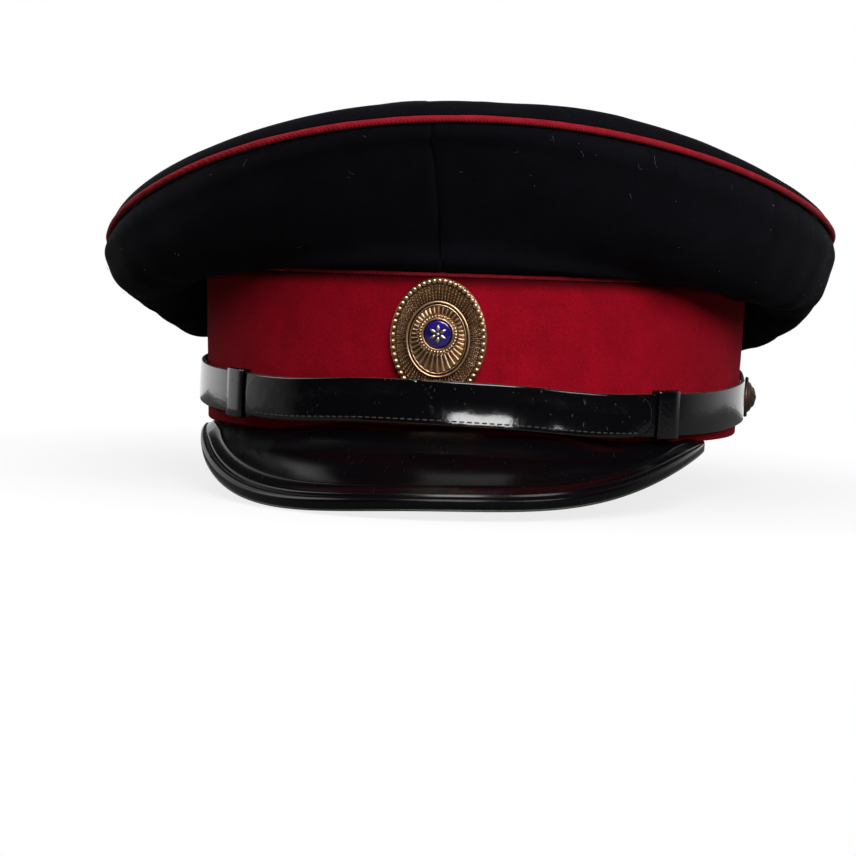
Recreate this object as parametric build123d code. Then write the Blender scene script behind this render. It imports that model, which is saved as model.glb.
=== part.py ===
"""Military peaked cap: band, visor, stretched crown, chin strap and cockade.

Millimetres. +Z is up, the front of the cap faces -Y and the wearer's left is +X.
The origin is the middle of the band's lower edge, where the head goes in.
"""
from build123d import *
import os
from math import atan, cos, degrees, hypot, pi, radians, sin, sqrt

# Band: an ellipse that flares a little towards the top.
BAND_HALF_WIDTH = 90.0
BAND_HALF_LENGTH = 101.0
BAND_FLARE = 2.0
BAND_HEIGHT = 51.0
BAND_CLOTH = 1.4
STIFFENER_INSET = 1.5
STIFFENER_THICKNESS = 1.6
SWEATBAND_INSET = 5.4
SWEATBAND_THICKNESS = 1.0
SWEATBAND_HEIGHT = 41.0
WELT_RADIUS = 0.8
WELT_INSET = 0.1

# Rim of the crown: a bent hoop, high in front and dipping at the sides.
RIM_HALF_WIDTH = 122.0
RIM_HALF_LENGTH = 127.0
RIM_CENTRE_X = -2.0
RIM_CENTRE_Y = -6.3
RIM_FRONT_HEIGHT = 98.0
RIM_SIDE_HEIGHT = 60.7
RIM_BACK_HEIGHT = 57.0
RIM_SIDE_TILT = 6.7
CROWN_CLOTH = 1.5
CROWN_DOME = 3.0
CROWN_ROLL_HEIGHT = 6.5
CROWN_ROLL_WIDTH = 5.5
CROWN_TOP_LIFT = 1.5
PIPING_RADIUS = 1.35
HOOP_RADIUS = 1.0
HOOP_INSET = 4.3
HOOP_LIFT = 2.3
FERRULE_RADIUS = 1.5
FERRULE_SPAN = 12.0

# Wall of the crown: taut in front, hanging below the band's top seam behind.
WALL_SEAM_HEIGHT = 52.8
WALL_FRONT_BOW = 1.5
WALL_DROOP = 28.5
WALL_SIDE_TILT = 2.4
WALL_BULGE = 4.0
WALL_SECTION_STEP = 15

# Stiffening behind the front of the wall, and the lining.
BUCKRAM_GAP = 0.3
BUCKRAM_THICKNESS = 1.0
BUCKRAM_SPAN = 45
STAY_WIDTH = 20.0
STAY_THICKNESS = 0.6
STAY_INSET = 3.6
STAY_FOOT_HEIGHTS = (40.0, 43.5, 47.0)
WADDING_THICKNESS = 2.2
LINING_THICKNESS = 0.5
LINING_INSET = 9.0
LINING_TOP_INSET = 7.0
LINING_TOP_OFFSET = 2.8

# Visor.
VISOR_HALF_WIDTH = 83.0
VISOR_CENTRE_X = -2.0
VISOR_CENTRE_Y = -34.0
VISOR_FRONT_Y = -147.5
VISOR_ROOT_SPAN = 67
VISOR_EDGE_SPAN = 86
VISOR_THICKNESS = 2.0
VISOR_RIM_WIDTH = 9.0
VISOR_RIM_RISE = 0.7
VISOR_UNDERLAY = 0.6
VISOR_SECTIONS = 13

# Chin strap, in its own level frame about the button axis.
STRAP_HALF_WIDTH = 91.2
STRAP_HALF_LENGTH = 107.4
STRAP_THICKNESS = 1.6
STRAP_HEIGHT = 13.4
STRAP_END_HEIGHT = 18.4
STRAP_OVERLAY_THICKNESS = 1.4
STRAP_OVERLAY_GAP = 0.08
STRAP_FLARE_LENGTH = 18.0
STRAP_TIP = 9.0
STRAP_TIP_NOTCH = 2.5
STITCH_COUNT = 44
STITCH_LENGTH = 1.8
STITCH_WIDTH = 0.5
STRAP_OVERLAY_SPAN = 44.5
STRAP_SINK = 0.75
STRAP_TILT = 0.8
BUTTON_Y = 20.0
BUTTON_Z = 13.2
KEEPER_ANGLE = 48.2
KEEPER_WIDTH = 10.0
KEEPER_THICKNESS = 0.8
KEEPER_CLEARANCE = 0.35

# Side buttons.
BUTTON_RADIUS = 7.0
BUTTON_DOME_RADIUS = 5.6
BUTTON_DOME_HEIGHT = 2.6
BUTTON_WALL = 1.0
BUTTON_PLATE = 0.6
BUTTON_SHANK_RADIUS = 1.2
BUTTON_BACK_RADIUS = 4.4
BUTTON_STANDOFF = 0.75
STRAP_HOLE_RADIUS = 1.29
WASHER_RADIUS = 3.2
WASHER_THICKNESS = 0.4
WASHER_OUT = 84.5

# Cockade: a stamped oval on the front of the band.
COCKADE_X = -1.0
COCKADE_Z = 31.9
PRONG_OUT = 6.0
PRONG_WIDTH = 2.4
PRONG_THICKNESS = 0.6
PRONG_FOLD = 5.7
COCKADE_HALF_WIDTH = 15.0
COCKADE_HALF_HEIGHT = 19.0
COCKADE_BASE = 0.9
COCKADE_GAP = 0.15
BEAD_COUNT = 54
BEAD_RADIUS = 0.75
BEAD_LIFT = 0.02
RAY_COUNT = 36
RING_HALF_WIDTH = 10.1
RING_HALF_HEIGHT = 12.0
RING_RISE = 1.2
ENAMEL_RADIUS = 4.3
ENAMEL_OFFSET = 1.6
PETAL_COUNT = 6

# Label under the crown's lining.
LABEL_HALF_WIDTH = 32.0
LABEL_HALF_LENGTH = 22.0

UP = Vector(0, 0, 1)


def smooth(value):
    """Soft step from 0 to 1."""
    share = min(1.0, max(0.0, value))
    return share * share * (3 - 2 * share)


def blend(start, end, share):
    """Value between start and end."""
    return start + (end - start) * share


def bezier(controls, share):
    """Point of a cubic curve, and its unit normal on the left of its travel."""
    weights = (
        (1 - share) ** 3,
        3 * share * (1 - share) ** 2,
        3 * share**2 * (1 - share),
        share**3,
    )
    out = sum(weight * control[0] for weight, control in zip(weights, controls))
    height = sum(weight * control[1] for weight, control in zip(weights, controls))
    slopes = ((1 - share) ** 2, 2 * share * (1 - share), share**2)
    run = sum(
        slope * (after[0] - before[0])
        for slope, before, after in zip(slopes, controls, controls[1:])
    )
    rise = sum(
        slope * (after[1] - before[1])
        for slope, before, after in zip(slopes, controls, controls[1:])
    )
    length = hypot(run, rise)
    return (out, height), (-rise / length, run / length)


def band_axes(inset, z):
    """Half width and half length of the band's shell, inset from its outer face."""
    flare = BAND_FLARE * z / BAND_HEIGHT
    return BAND_HALF_WIDTH + flare - inset, BAND_HALF_LENGTH + flare - inset


def band_point(angle, inset, z):
    """Point on the band's shell. Angle 0 is the front."""
    half_width, half_length = band_axes(inset, z)
    return Vector(half_width * sin(angle), -half_length * cos(angle), z)


def band_cone(inset, low, high):
    """Solid ellipse that follows the band's flare."""
    faces = [Plane.XY.offset(z) * Ellipse(*band_axes(inset, z)) for z in (low, high)]
    return loft(faces, ruled=True)


def band_ring(inset, thickness, low, high):
    """Closed ring of the band, of an even thickness."""
    return band_cone(inset, low, high) - band_cone(inset + thickness, low, high)


def rim_height(u, v):
    """Height of the hoop's surface at u across and v towards the front, -1 to 1."""
    side_dip = ((RIM_FRONT_HEIGHT + RIM_BACK_HEIGHT) / 2 - RIM_SIDE_HEIGHT) / 2
    middle = (RIM_FRONT_HEIGHT + RIM_BACK_HEIGHT) / 2 - side_dip
    slope = (RIM_FRONT_HEIGHT - RIM_BACK_HEIGHT) / 2
    return middle + slope * v + side_dip * (v * v - u * u) + RIM_SIDE_TILT * u


def rim_point(angle, inset=0.0, drop=0.0):
    """Point on the rim, inset towards the middle and dropped below it."""
    x = RIM_CENTRE_X + (RIM_HALF_WIDTH - inset) * sin(angle)
    y = RIM_CENTRE_Y - (RIM_HALF_LENGTH - inset) * cos(angle)
    return Vector(x, y, rim_height(sin(angle), cos(angle)) - drop)


def upright_section(angle, outer, inner):
    """Thin closed face in the upright plane from the band to the rim."""
    start = band_point(angle, 0, WALL_SEAM_HEIGHT)
    start = Vector(start.X, start.Y, 0)
    away = rim_point(angle) - start
    away = Vector(away.X, away.Y, 0).normalized()
    outer_points = [start + away * out + UP * height for out, height in outer]
    inner_points = [start + away * out + UP * height for out, height in inner]
    edges = [
        Spline(*outer_points),
        Line(outer_points[-1], inner_points[-1]),
        Spline(*reversed(inner_points)),
        Line(inner_points[0], outer_points[0]),
    ]
    return Face(Wire(edges))


def reach(angle):
    """Level distance from the band's top seam to the rim."""
    gap = rim_point(angle) - band_point(angle, 0, WALL_SEAM_HEIGHT)
    return hypot(gap.X, gap.Y)


def wall_controls(angle):
    """Control points of the wall's profile: distance out, and height."""
    back_share = (1 - cos(angle)) / 2
    turn = min(abs(angle), 2 * pi - abs(angle))
    droop = 0.9 * back_share
    droop += 0.28 * smooth((back_share - 0.5) / 0.25)
    droop -= 0.53 * smooth((back_share - 0.8) / 0.2)
    slack = smooth(turn / radians(70))
    rim_z = rim_point(angle).Z - PIPING_RADIUS - 0.15
    rim_out = reach(angle) - 0.2
    lowest = WALL_SEAM_HEIGHT - WALL_DROOP * min(1.0, droop)
    lowest += WALL_SIDE_TILT * sin(angle) * slack
    pull = (lowest - (WALL_SEAM_HEIGHT + rim_z) / 8) / 0.75
    seam_out = blend(0.2, 1.0, slack)
    rise = rim_z - WALL_SEAM_HEIGHT
    near = (
        blend(seam_out + rim_out / 3, seam_out + 0.12 * rim_out + 1, slack),
        blend(WALL_SEAM_HEIGHT + rise / 3, pull, slack),
    )
    far = (
        blend(seam_out + 2 * rim_out / 3 + WALL_FRONT_BOW, rim_out + WALL_BULGE, slack),
        blend(WALL_SEAM_HEIGHT + 2 * rise / 3, pull, slack),
    )
    return [(seam_out, WALL_SEAM_HEIGHT), near, far, (rim_out, rim_z)]


def profile_layer(controls, depth, first=0.0, last=1.0, count=9):
    """Points along a profile, moved to its inner side by depth."""
    points = []
    for step in range(count):
        share = blend(first, last, step / (count - 1))
        point, normal = bezier(controls, share)
        points.append((point[0] + normal[0] * depth, point[1] + normal[1] * depth))
    return points


def wall_panel(first, last, depth=0.0, thickness=CROWN_CLOTH, low=0.0, high=1.0):
    """Layer of the wall between two angles in degrees."""
    steps = round((last - first) / WALL_SECTION_STEP)
    faces = []
    for step in range(steps + 1):
        angle = radians(first + (last - first) * step / steps)
        controls = wall_controls(angle)
        outer = profile_layer(controls, depth, low, high)
        inner = profile_layer(controls, depth + thickness, low, high)
        faces.append(upright_section(angle, outer, inner))
    return loft(faces)


def crown_sheet(top_offset, thickness, inset):
    """Domed sheet inside the rim."""
    count = 15
    size = 1.08
    rows = []
    for row in range(count):
        v = size * (2 * row / (count - 1) - 1)
        points = []
        for column in range(count):
            u = size * (2 * column / (count - 1) - 1)
            puff = CROWN_DOME * (1 - u * u - v * v)
            x = RIM_CENTRE_X + RIM_HALF_WIDTH * u
            y = RIM_CENTRE_Y - RIM_HALF_LENGTH * v
            points.append(Vector(x, y, rim_height(u, v) + puff + top_offset))
        rows.append(points)
    surface = Face.make_surface_from_array_of_points(rows)
    slab = extrude(surface, amount=thickness, dir=(0, 0, -1))
    edge = Ellipse(RIM_HALF_WIDTH - inset, RIM_HALF_LENGTH - inset)
    column = extrude(Pos(RIM_CENTRE_X, RIM_CENTRE_Y, 0) * edge, amount=150)
    return slab & column


def crown_top():
    """Top of the crown: a domed sheet with a round roll over the hoop at its edge."""
    start = CROWN_TOP_LIFT
    rolls = []
    for quarter in range(4):
        faces = []
        for step in range(7):
            angle = radians(90 * quarter + 15 * step)
            layers = []
            for depth in (0.0, CROWN_CLOTH):
                wide = CROWN_ROLL_WIDTH - depth
                high = CROWN_ROLL_HEIGHT - start - depth
                layer = []
                for index in range(7):
                    turn = pi / 2 * index / 6
                    inset = PIPING_RADIUS - 1.0 + depth + wide * (1 - cos(turn))
                    point = rim_point(angle, inset)
                    flat = point - rim_point(angle)
                    out = reach(angle) - hypot(flat.X, flat.Y)
                    dome = CROWN_DOME * (inset / RIM_HALF_LENGTH)
                    layer.append((out, point.Z + start + high * sin(turn) + dome))
                layers.append(layer)
            faces.append(upright_section(angle, layers[0], layers[1]))
        rolls.append(loft(faces))
    sheet = crown_sheet(CROWN_ROLL_HEIGHT, CROWN_CLOTH, CROWN_ROLL_WIDTH - 0.2)
    return sheet + rolls[0] + rolls[1] + rolls[2] + rolls[3]


def rim_tube(inset, drop, radius, first, last, bore=0.0):
    """Round tube or bar along the rim between two angles in degrees."""
    count = max(4, round((last - first) / 15))
    angles = [radians(first + (last - first) * step / count) for step in range(count + 1)]
    path = Spline(*[rim_point(angle, inset, drop) for angle in angles])
    plane = Plane(origin=path @ 0, z_dir=path % 0)
    section = plane * Circle(radius)
    if bore:
        section -= plane * Circle(bore)
    return sweep(section, path=path)


def lining_side():
    """Lining from the top of the sweatband, over the seam, to the hoop."""
    quarters = []
    for quarter in range(4):
        faces = []
        for step in range(7):
            angle = radians(90 * quarter + 15 * step)
            end_out = reach(angle) - LINING_INSET
            end_z = rim_point(angle).Z - 1.5
            controls = [
                (-SWEATBAND_INSET, SWEATBAND_HEIGHT + 2.5),
                (-4.2, 61.0),
                (0.38 * end_out, 56 + 0.55 * (end_z - 50)),
                (end_out, end_z),
            ]
            outer = profile_layer(controls, 0.0)
            inner = profile_layer(controls, LINING_THICKNESS)
            faces.append(upright_section(angle, outer, inner))
        quarters.append(loft(faces))
    return quarters[0] + quarters[1] + quarters[2] + quarters[3]


def front_stay():
    """Sprung strip that holds the front of the crown up."""
    depth = CROWN_CLOTH + BUCKRAM_GAP + BUCKRAM_THICKNESS + 0.3
    half_angle = STAY_WIDTH / 2 / BAND_HALF_LENGTH
    faces = []
    for step in range(3):
        angle = half_angle * (step - 1)
        controls = wall_controls(angle)
        layers = []
        for extra in (0.0, STAY_THICKNESS):
            foot = []
            for height in STAY_FOOT_HEIGHTS:
                lean = BAND_FLARE * (WALL_SEAM_HEIGHT - height) / BAND_HEIGHT
                foot.append((-STAY_INSET - lean - extra, height))
            top = profile_layer(controls, depth + extra, 0.16, 0.8, 6)
            layers.append(foot + top)
        faces.append(upright_section(angle, layers[0], layers[1]))
    return loft(faces)


def front_wadding():
    """Pad on each side of the stay, behind the buckram."""
    depth = CROWN_CLOTH + BUCKRAM_GAP + BUCKRAM_THICKNESS + 0.3
    pads = []
    for first, last in ((-38, -8), (8, 38)):
        faces = []
        for step in range(4):
            angle = radians(first + (last - first) * step / 3)
            controls = wall_controls(angle)
            outer = profile_layer(controls, depth, 0.4, 0.8, 5)
            inner = profile_layer(controls, depth + WADDING_THICKNESS, 0.4, 0.8, 5)
            faces.append(upright_section(angle, outer, inner))
        pads.append(loft(faces))
    return Compound(children=pads)


def visor_edge(angle):
    """Outer edge of the visor's underside at an angle from the front."""
    across = sin(angle)
    x = VISOR_CENTRE_X + VISOR_HALF_WIDTH * across
    y = VISOR_CENTRE_Y + (VISOR_FRONT_Y - VISOR_CENTRE_Y) * cos(angle)
    z = -15.0 - 8.2 * across**2 + 22.5 * across**4 + 3.0 * across * (1 - across**8)
    return Vector(x, y, z)


def visor_root(angle):
    """Inner edge of the visor, under the band."""
    point = band_point(angle, 2.9, 0)
    return Vector(point.X, point.Y, -0.15)


def visor_frame(step, sections):
    """Root, edge and level direction of one visor section."""
    share = 2 * step / (sections - 1) - 1
    root = visor_root(radians(VISOR_ROOT_SPAN) * share)
    edge = visor_edge(radians(VISOR_EDGE_SPAN) * share)
    level = Vector(edge.X - root.X, edge.Y - root.Y, 0)
    return root, edge, level


def visor_section(step, sections, depth, thickness, rim):
    """Face of the visor: top curve, raised rim and bottom curve."""
    root, edge, level = visor_frame(step, sections)
    length = level.length
    away = level.normalized()
    fall = root.Z - edge.Z
    rise = VISOR_RIM_RISE * min(1.0, length / 25)
    rim_start = max(0.35, 1 - VISOR_RIM_WIDTH / length)
    slope_length = hypot(length, fall)

    def place(share, below):
        sag = fall * (0.62 * share + 0.38 * share * share)
        lean = fall / slope_length * below
        level_out = share * length - lean * share
        return root + away * level_out + UP * (-sag - below)

    top_shares = [rim_start * index / 4 for index in range(5)]
    top = [place(share, depth) for share in top_shares]
    bottom = [place(index / 6, depth + thickness) for index in range(7)]
    edges = [Spline(*top)]
    if rim:
        ridge = place(rim_start + 0.05, depth - rise)
        lip = place(0.97, depth - rise)
        tip = place(1.0, depth)
        edges += [Line(top[-1], ridge), Line(ridge, lip), Line(lip, tip)]
    else:
        middle = place((rim_start + 1) / 2, depth)
        tip = place(1.0, depth)
        edges += [Line(top[-1], middle), Line(middle, tip)]
    edges += [Line(tip, bottom[-1]), Spline(*reversed(bottom)), Line(bottom[0], top[0])]
    return Face(Wire(edges))


def visor_layer(depth, thickness, rim):
    """One layer of the visor, from corner to corner."""
    faces = []
    for step in range(VISOR_SECTIONS):
        faces.append(visor_section(step, VISOR_SECTIONS, depth, thickness, rim))
    return loft(faces)


def band_arc(inset, thickness, low, high, span):
    """Piece of the band's ring within span degrees of the front."""
    far = 400.0
    corner = (far * sin(radians(span)), -far * cos(radians(span)))
    wedge = Polyline((0, 0), corner, (far, -far), (-far, -far), (-corner[0], corner[1]), (0, 0))
    sector = Pos(0, 0, low - 1) * extrude(make_face(wedge), amount=high - low + 2)
    return band_ring(inset, thickness, low, high) & sector


def strap_axes(offset):
    """Half width and half length of the strap's ring at an offset from its inner face."""
    return STRAP_HALF_WIDTH + offset, STRAP_HALF_LENGTH + offset


def strap_ring(offset, thickness, height):
    """Level closed ring at the strap's place, centred on the button's height."""
    ring = Ellipse(*strap_axes(offset + thickness)) - Ellipse(*strap_axes(offset))
    return Pos(0, 0, BUTTON_Z - height / 2) * extrude(ring, amount=height)


def strap_point(angle, offset=0.0):
    """Point in the strap's middle plane. Angle 0 is the front."""
    half_width, half_length = strap_axes(offset)
    return Vector(half_width * sin(angle), -half_length * cos(angle), BUTTON_Z)


def sink(piece):
    """Turn a piece of the strap so that its front hangs low and its left side is a little high."""
    hung = piece.rotate(Axis((0, BUTTON_Y, BUTTON_Z), (1, 0, 0)), STRAP_SINK)
    return hung.rotate(Axis((0, BUTTON_Y, BUTTON_Z), (0, 1, 0)), STRAP_TILT)


def strap_outline():
    """Side view of the strap: even in front, flared and pointed at the buttons."""
    half = STRAP_HEIGHT / 2
    end_half = STRAP_END_HEIGHT / 2
    top = BUTTON_Z
    full_y = BUTTON_Y + 2
    flare_y = full_y - STRAP_FLARE_LENGTH
    tip_y = BUTTON_Y + STRAP_TIP
    outline = Polyline(
        (-200, top - half),
        (flare_y, top - half),
        (full_y, top - end_half),
        (tip_y, top - end_half),
        (tip_y - STRAP_TIP_NOTCH, top),
        (tip_y, top + end_half),
        (full_y, top + end_half),
        (flare_y, top + half),
        (-200, top + half),
        (-200, top - half),
    )
    side = Plane(origin=(-200, 0, 0), x_dir=(0, 1, 0), z_dir=(1, 0, 0)) * make_face(outline)
    return extrude(side, amount=400)


def strap_half(side):
    """Strap from the front lap to one button. Side -1 is left of the viewer."""
    ring = strap_ring(0.0, STRAP_THICKNESS, STRAP_END_HEIGHT + 4) & strap_outline()
    half_box = Pos(side * 100.05, 0, BUTTON_Z) * Box(200, 500, 60)
    hole = Pos(side * strap_out(), BUTTON_Y, BUTTON_Z) * Rot(0, 90, 0)
    return sink((ring & half_box) - hole * Cylinder(STRAP_HOLE_RADIUS, 20))


def strap_front():
    """Second layer across the front, with round ends."""
    ring = strap_ring(STRAP_THICKNESS + STRAP_OVERLAY_GAP, STRAP_OVERLAY_THICKNESS, STRAP_HEIGHT)
    half_span = strap_point(radians(STRAP_OVERLAY_SPAN)).X
    plate = Pos(0, -STRAP_HALF_LENGTH, BUTTON_Z) * Rot(90, 0, 0)
    outline = plate * RectangleRounded(2 * half_span, STRAP_HEIGHT, STRAP_HEIGHT * 0.42)
    return sink(ring & extrude(outline, amount=100, both=True))


def strap_stitching():
    """Row of stitches along the lower edge of the front layer."""
    stitches = []
    face = STRAP_THICKNESS + STRAP_OVERLAY_GAP + STRAP_OVERLAY_THICKNESS
    offset = face + STITCH_WIDTH / 2 + 0.03
    for index in range(STITCH_COUNT):
        angle = radians(STRAP_OVERLAY_SPAN - 6) * (2 * index / (STITCH_COUNT - 1) - 1)
        point = strap_point(angle, offset)
        ahead = strap_point(angle + 0.001, offset) - point
        turn = degrees(atan(ahead.Y / ahead.X))
        place = Pos(point.X, point.Y, BUTTON_Z - STRAP_HEIGHT / 2 + 1.6) * Rot(0, 0, turn)
        stitches.append(sink(place * Box(STITCH_LENGTH, STITCH_WIDTH, STITCH_WIDTH)))
    return Compound(children=stitches)


def curvature_centre(angle):
    """Centre of curvature of the strap's ring at an angle."""
    half_width, half_length = strap_axes(STRAP_THICKNESS / 2)
    spread = half_width**2 - half_length**2
    return spread / half_width * sin(angle) ** 3, spread / half_length * cos(angle) ** 3


def keeper(side):
    """Sliding loop round the strap."""
    angle = radians(KEEPER_ANGLE)
    centre_x, centre_y = curvature_centre(angle)
    middle = strap_point(angle, STRAP_THICKNESS / 2)
    radius = hypot(middle.X - centre_x, middle.Y - centre_y)
    gap = STRAP_THICKNESS / 2 + KEEPER_CLEARANCE
    inner_half = STRAP_HEIGHT / 2 + KEEPER_CLEARANCE
    outer = Circle(radius + gap + KEEPER_THICKNESS) - Circle(radius - gap - KEEPER_THICKNESS)
    inner = Circle(radius + gap) - Circle(radius - gap)
    outer_height = 2 * (inner_half + KEEPER_THICKNESS)
    loop = Pos(0, 0, -outer_height / 2) * extrude(outer, amount=outer_height)
    loop -= Pos(0, 0, -inner_half) * extrude(inner, amount=2 * inner_half)
    turn = degrees(atan((middle.Y - centre_y) / (middle.X - centre_x)))
    cut = Rot(0, 0, turn) * Pos(radius, 0, 0) * Box(20, KEEPER_WIDTH, 60)
    right = Pos(centre_x, centre_y, BUTTON_Z) * (loop & cut)
    piece = right if side > 0 else mirror(right, Plane.YZ)
    return sink(piece)


def button_place(side, out):
    """Place on the button axis, facing outward, at a distance from the middle."""
    turn = 90 if side > 0 else -90
    tilted = Pos(0, BUTTON_Y, BUTTON_Z) * Rot(0, STRAP_TILT, 0)
    return tilted * Pos(side * out, 0, 0) * Rot(0, turn, 0)


def strap_out():
    """Distance of the strap's outer face from the middle, at the buttons."""
    half_width, half_length = strap_axes(STRAP_THICKNESS)
    return half_width * sqrt(1 - (BUTTON_Y / half_length) ** 2)


def button_cap(side):
    """Domed shell of a side button with its rolled rim."""
    back = strap_out() + BUTTON_STANDOFF + BUTTON_PLATE
    sphere = (BUTTON_DOME_RADIUS**2 + BUTTON_DOME_HEIGHT**2) / (2 * BUTTON_DOME_HEIGHT)
    shell = Cylinder(BUTTON_RADIUS, BUTTON_WALL, align=(Align.CENTER, Align.CENTER, Align.MIN))
    shell = fillet(shell.edges().sort_by(Axis.Z)[-1], 0.45)
    cap = Pos(0, 0, BUTTON_WALL + BUTTON_DOME_HEIGHT - sphere) * Sphere(sphere)
    keep = Pos(0, 0, 0.9 * BUTTON_WALL) * Cylinder(
        BUTTON_DOME_RADIUS, 6, align=(Align.CENTER, Align.CENTER, Align.MIN)
    )
    shell += cap & keep
    hollow = Pos(0, 0, BUTTON_DOME_HEIGHT - sphere) * Sphere(sphere)
    room = Cylinder(BUTTON_DOME_RADIUS - 0.9, 6, align=(Align.CENTER, Align.CENTER, Align.MIN))
    shell -= hollow & room
    return button_place(side, back) * shell


def button_back(side):
    """Back plate of a side button, with the shank that the strap turns on."""
    back = strap_out() + BUTTON_STANDOFF
    plate = Cylinder(
        BUTTON_BACK_RADIUS, BUTTON_PLATE, align=(Align.CENTER, Align.CENTER, Align.MIN)
    )
    length = back - WASHER_OUT + WASHER_THICKNESS
    shank = Cylinder(
        BUTTON_SHANK_RADIUS, length, align=(Align.CENTER, Align.CENTER, Align.MAX)
    )
    return button_place(side, back) * (plate + shank)


def button_washer(side):
    """Clinched washer on the shank, inside the band."""
    washer = Cylinder(WASHER_RADIUS, WASHER_THICKNESS) - Cylinder(BUTTON_SHANK_RADIUS, 2)
    return button_place(side, WASHER_OUT) * washer


def cockade_plane():
    """Plane on the front of the band at the cockade's middle, facing out."""
    lean = atan(BAND_FLARE / BAND_HEIGHT)
    face_y = -band_axes(0, COCKADE_Z)[1] - COCKADE_GAP
    return Plane(
        origin=(COCKADE_X, face_y, COCKADE_Z), x_dir=(1, 0, 0), z_dir=(0, -cos(lean), -sin(lean))
    )


def oval(half_width, half_height, low, high):
    """Flat oval disc in the cockade's frame."""
    return Pos(0, 0, low) * extrude(Ellipse(half_width, half_height), amount=high - low)


def cockade_base():
    """Back plate with a bevelled edge."""
    plate = oval(COCKADE_HALF_WIDTH, COCKADE_HALF_HEIGHT, 0, COCKADE_BASE)
    return chamfer(plate.edges().sort_by(Axis.Z)[-1], 0.3)


def cockade_beads():
    """Round beads along the edge of the plate."""
    beads = []
    for index in range(BEAD_COUNT):
        angle = 2 * pi * index / BEAD_COUNT
        x = (COCKADE_HALF_WIDTH - BEAD_RADIUS - 0.1) * sin(angle)
        y = (COCKADE_HALF_HEIGHT - BEAD_RADIUS - 0.1) * cos(angle)
        beads.append(Pos(x, y, COCKADE_BASE + BEAD_RADIUS + BEAD_LIFT) * Sphere(BEAD_RADIUS))
    return Compound(children=beads)


def cockade_rays():
    """Fluted field between the beads and the inner ring."""
    low, high = COCKADE_BASE, COCKADE_BASE + 0.7
    field = oval(COCKADE_HALF_WIDTH - 1.9, COCKADE_HALF_HEIGHT - 1.9, low, high)
    field -= oval(RING_HALF_WIDTH + 0.05, RING_HALF_HEIGHT + 0.05, low - 1, high + 1)
    for index in range(RAY_COUNT):
        angle = 360 * index / RAY_COUNT
        groove = Pos(0, 15, high + 0.1) * Rot(0, 45, 0) * Box(0.7, 20, 0.7)
        field -= Rot(0, 0, angle) * groove
    return field


def cockade_ring():
    """Raised plain ring round the medallion."""
    high = COCKADE_BASE + RING_RISE
    ring = oval(RING_HALF_WIDTH, RING_HALF_HEIGHT, COCKADE_BASE, high)
    ring -= oval(RING_HALF_WIDTH - 1.2, RING_HALF_HEIGHT - 1.2, 0, high + 1)
    return ring


def cockade_medallion():
    """Inner boss with a round seat for the enamel."""
    outer = oval(RING_HALF_WIDTH - 2.0, RING_HALF_HEIGHT - 2.0, COCKADE_BASE, COCKADE_BASE + 1.5)
    outer = chamfer(outer.edges().sort_by(Axis.Z)[-1], 0.5)
    seat = Pos(0, ENAMEL_OFFSET, COCKADE_BASE + 1.0) * Cylinder(
        ENAMEL_RADIUS, 3, align=(Align.CENTER, Align.CENTER, Align.MIN)
    )
    return outer - seat


def cockade_enamel():
    """Enamel disc in the medallion's seat."""
    disc = Cylinder(ENAMEL_RADIUS - 0.02, 0.6, align=(Align.CENTER, Align.CENTER, Align.MIN))
    return Pos(0, ENAMEL_OFFSET, COCKADE_BASE + 1.0) * disc


def cockade_rosette():
    """Plain six-petal rosette on the enamel."""
    base = COCKADE_BASE + 1.6
    rosette = Cylinder(0.8, 0.5, align=(Align.CENTER, Align.CENTER, Align.MIN))
    for index in range(PETAL_COUNT):
        petal = extrude(Pos(0, 1.7) * Ellipse(0.62, 1.25), amount=0.4)
        rosette += Rot(0, 0, 360 * index / PETAL_COUNT) * petal
    return Pos(0, ENAMEL_OFFSET, base) * rosette


def cockade_prongs():
    """Two flat prongs through the band, bent towards each other inside."""
    depth = COCKADE_GAP + STIFFENER_INSET + STIFFENER_THICKNESS + 0.1
    prongs = []
    for side in (-1, 1):
        leg = Pos(0, side * PRONG_OUT, -depth / 2) * Box(PRONG_WIDTH, PRONG_THICKNESS, depth)
        fold_middle = PRONG_OUT + PRONG_THICKNESS / 2 - PRONG_FOLD / 2
        fold = Pos(0, side * fold_middle, -depth - PRONG_THICKNESS / 2) * Box(
            PRONG_WIDTH, PRONG_FOLD, PRONG_THICKNESS
        )
        prongs.append(leg + fold)
    return Compound(children=prongs)


def prong_slots():
    """Slots in the band for the cockade's prongs and the buttons' shanks."""
    slots = []
    for side in (-1, 1):
        prong_cut = Pos(0, side * PRONG_OUT, -3) * Box(PRONG_WIDTH, PRONG_THICKNESS, 10)
        slots.append(cockade_plane() * prong_cut)
        slots.append(button_place(side, BAND_HALF_WIDTH - 2) * Cylinder(BUTTON_SHANK_RADIUS, 12))
    return slots


def cut_slots(piece):
    """Take the slots out of a layer of the band."""
    for slot in prong_slots():
        piece -= slot
    return piece


def welt():
    """Piping between the band and the crown's wall."""
    half_width, half_length = band_axes(WELT_INSET, BAND_HEIGHT)
    z = BAND_HEIGHT + WELT_RADIUS + 0.05
    path = Pos(0, 0, z) * EllipticalCenterArc((0, 0), half_width, half_length, 90.1, arc_size=359.8)
    plane = Plane(origin=path @ 0, z_dir=path % 0)
    return sweep(plane * Circle(WELT_RADIUS), path=path)


def label():
    """Blank rhombus of clear film under the lining of the crown."""
    surface = crown_sheet(LINING_TOP_OFFSET - LINING_THICKNESS - 0.1, 0.25, 40)
    outline = Polyline(
        (-LABEL_HALF_WIDTH, 0), (0, -LABEL_HALF_LENGTH), (LABEL_HALF_WIDTH, 0),
        (0, LABEL_HALF_LENGTH), (-LABEL_HALF_WIDTH, 0),
    )
    return surface & extrude(make_face(outline), amount=150)


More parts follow.
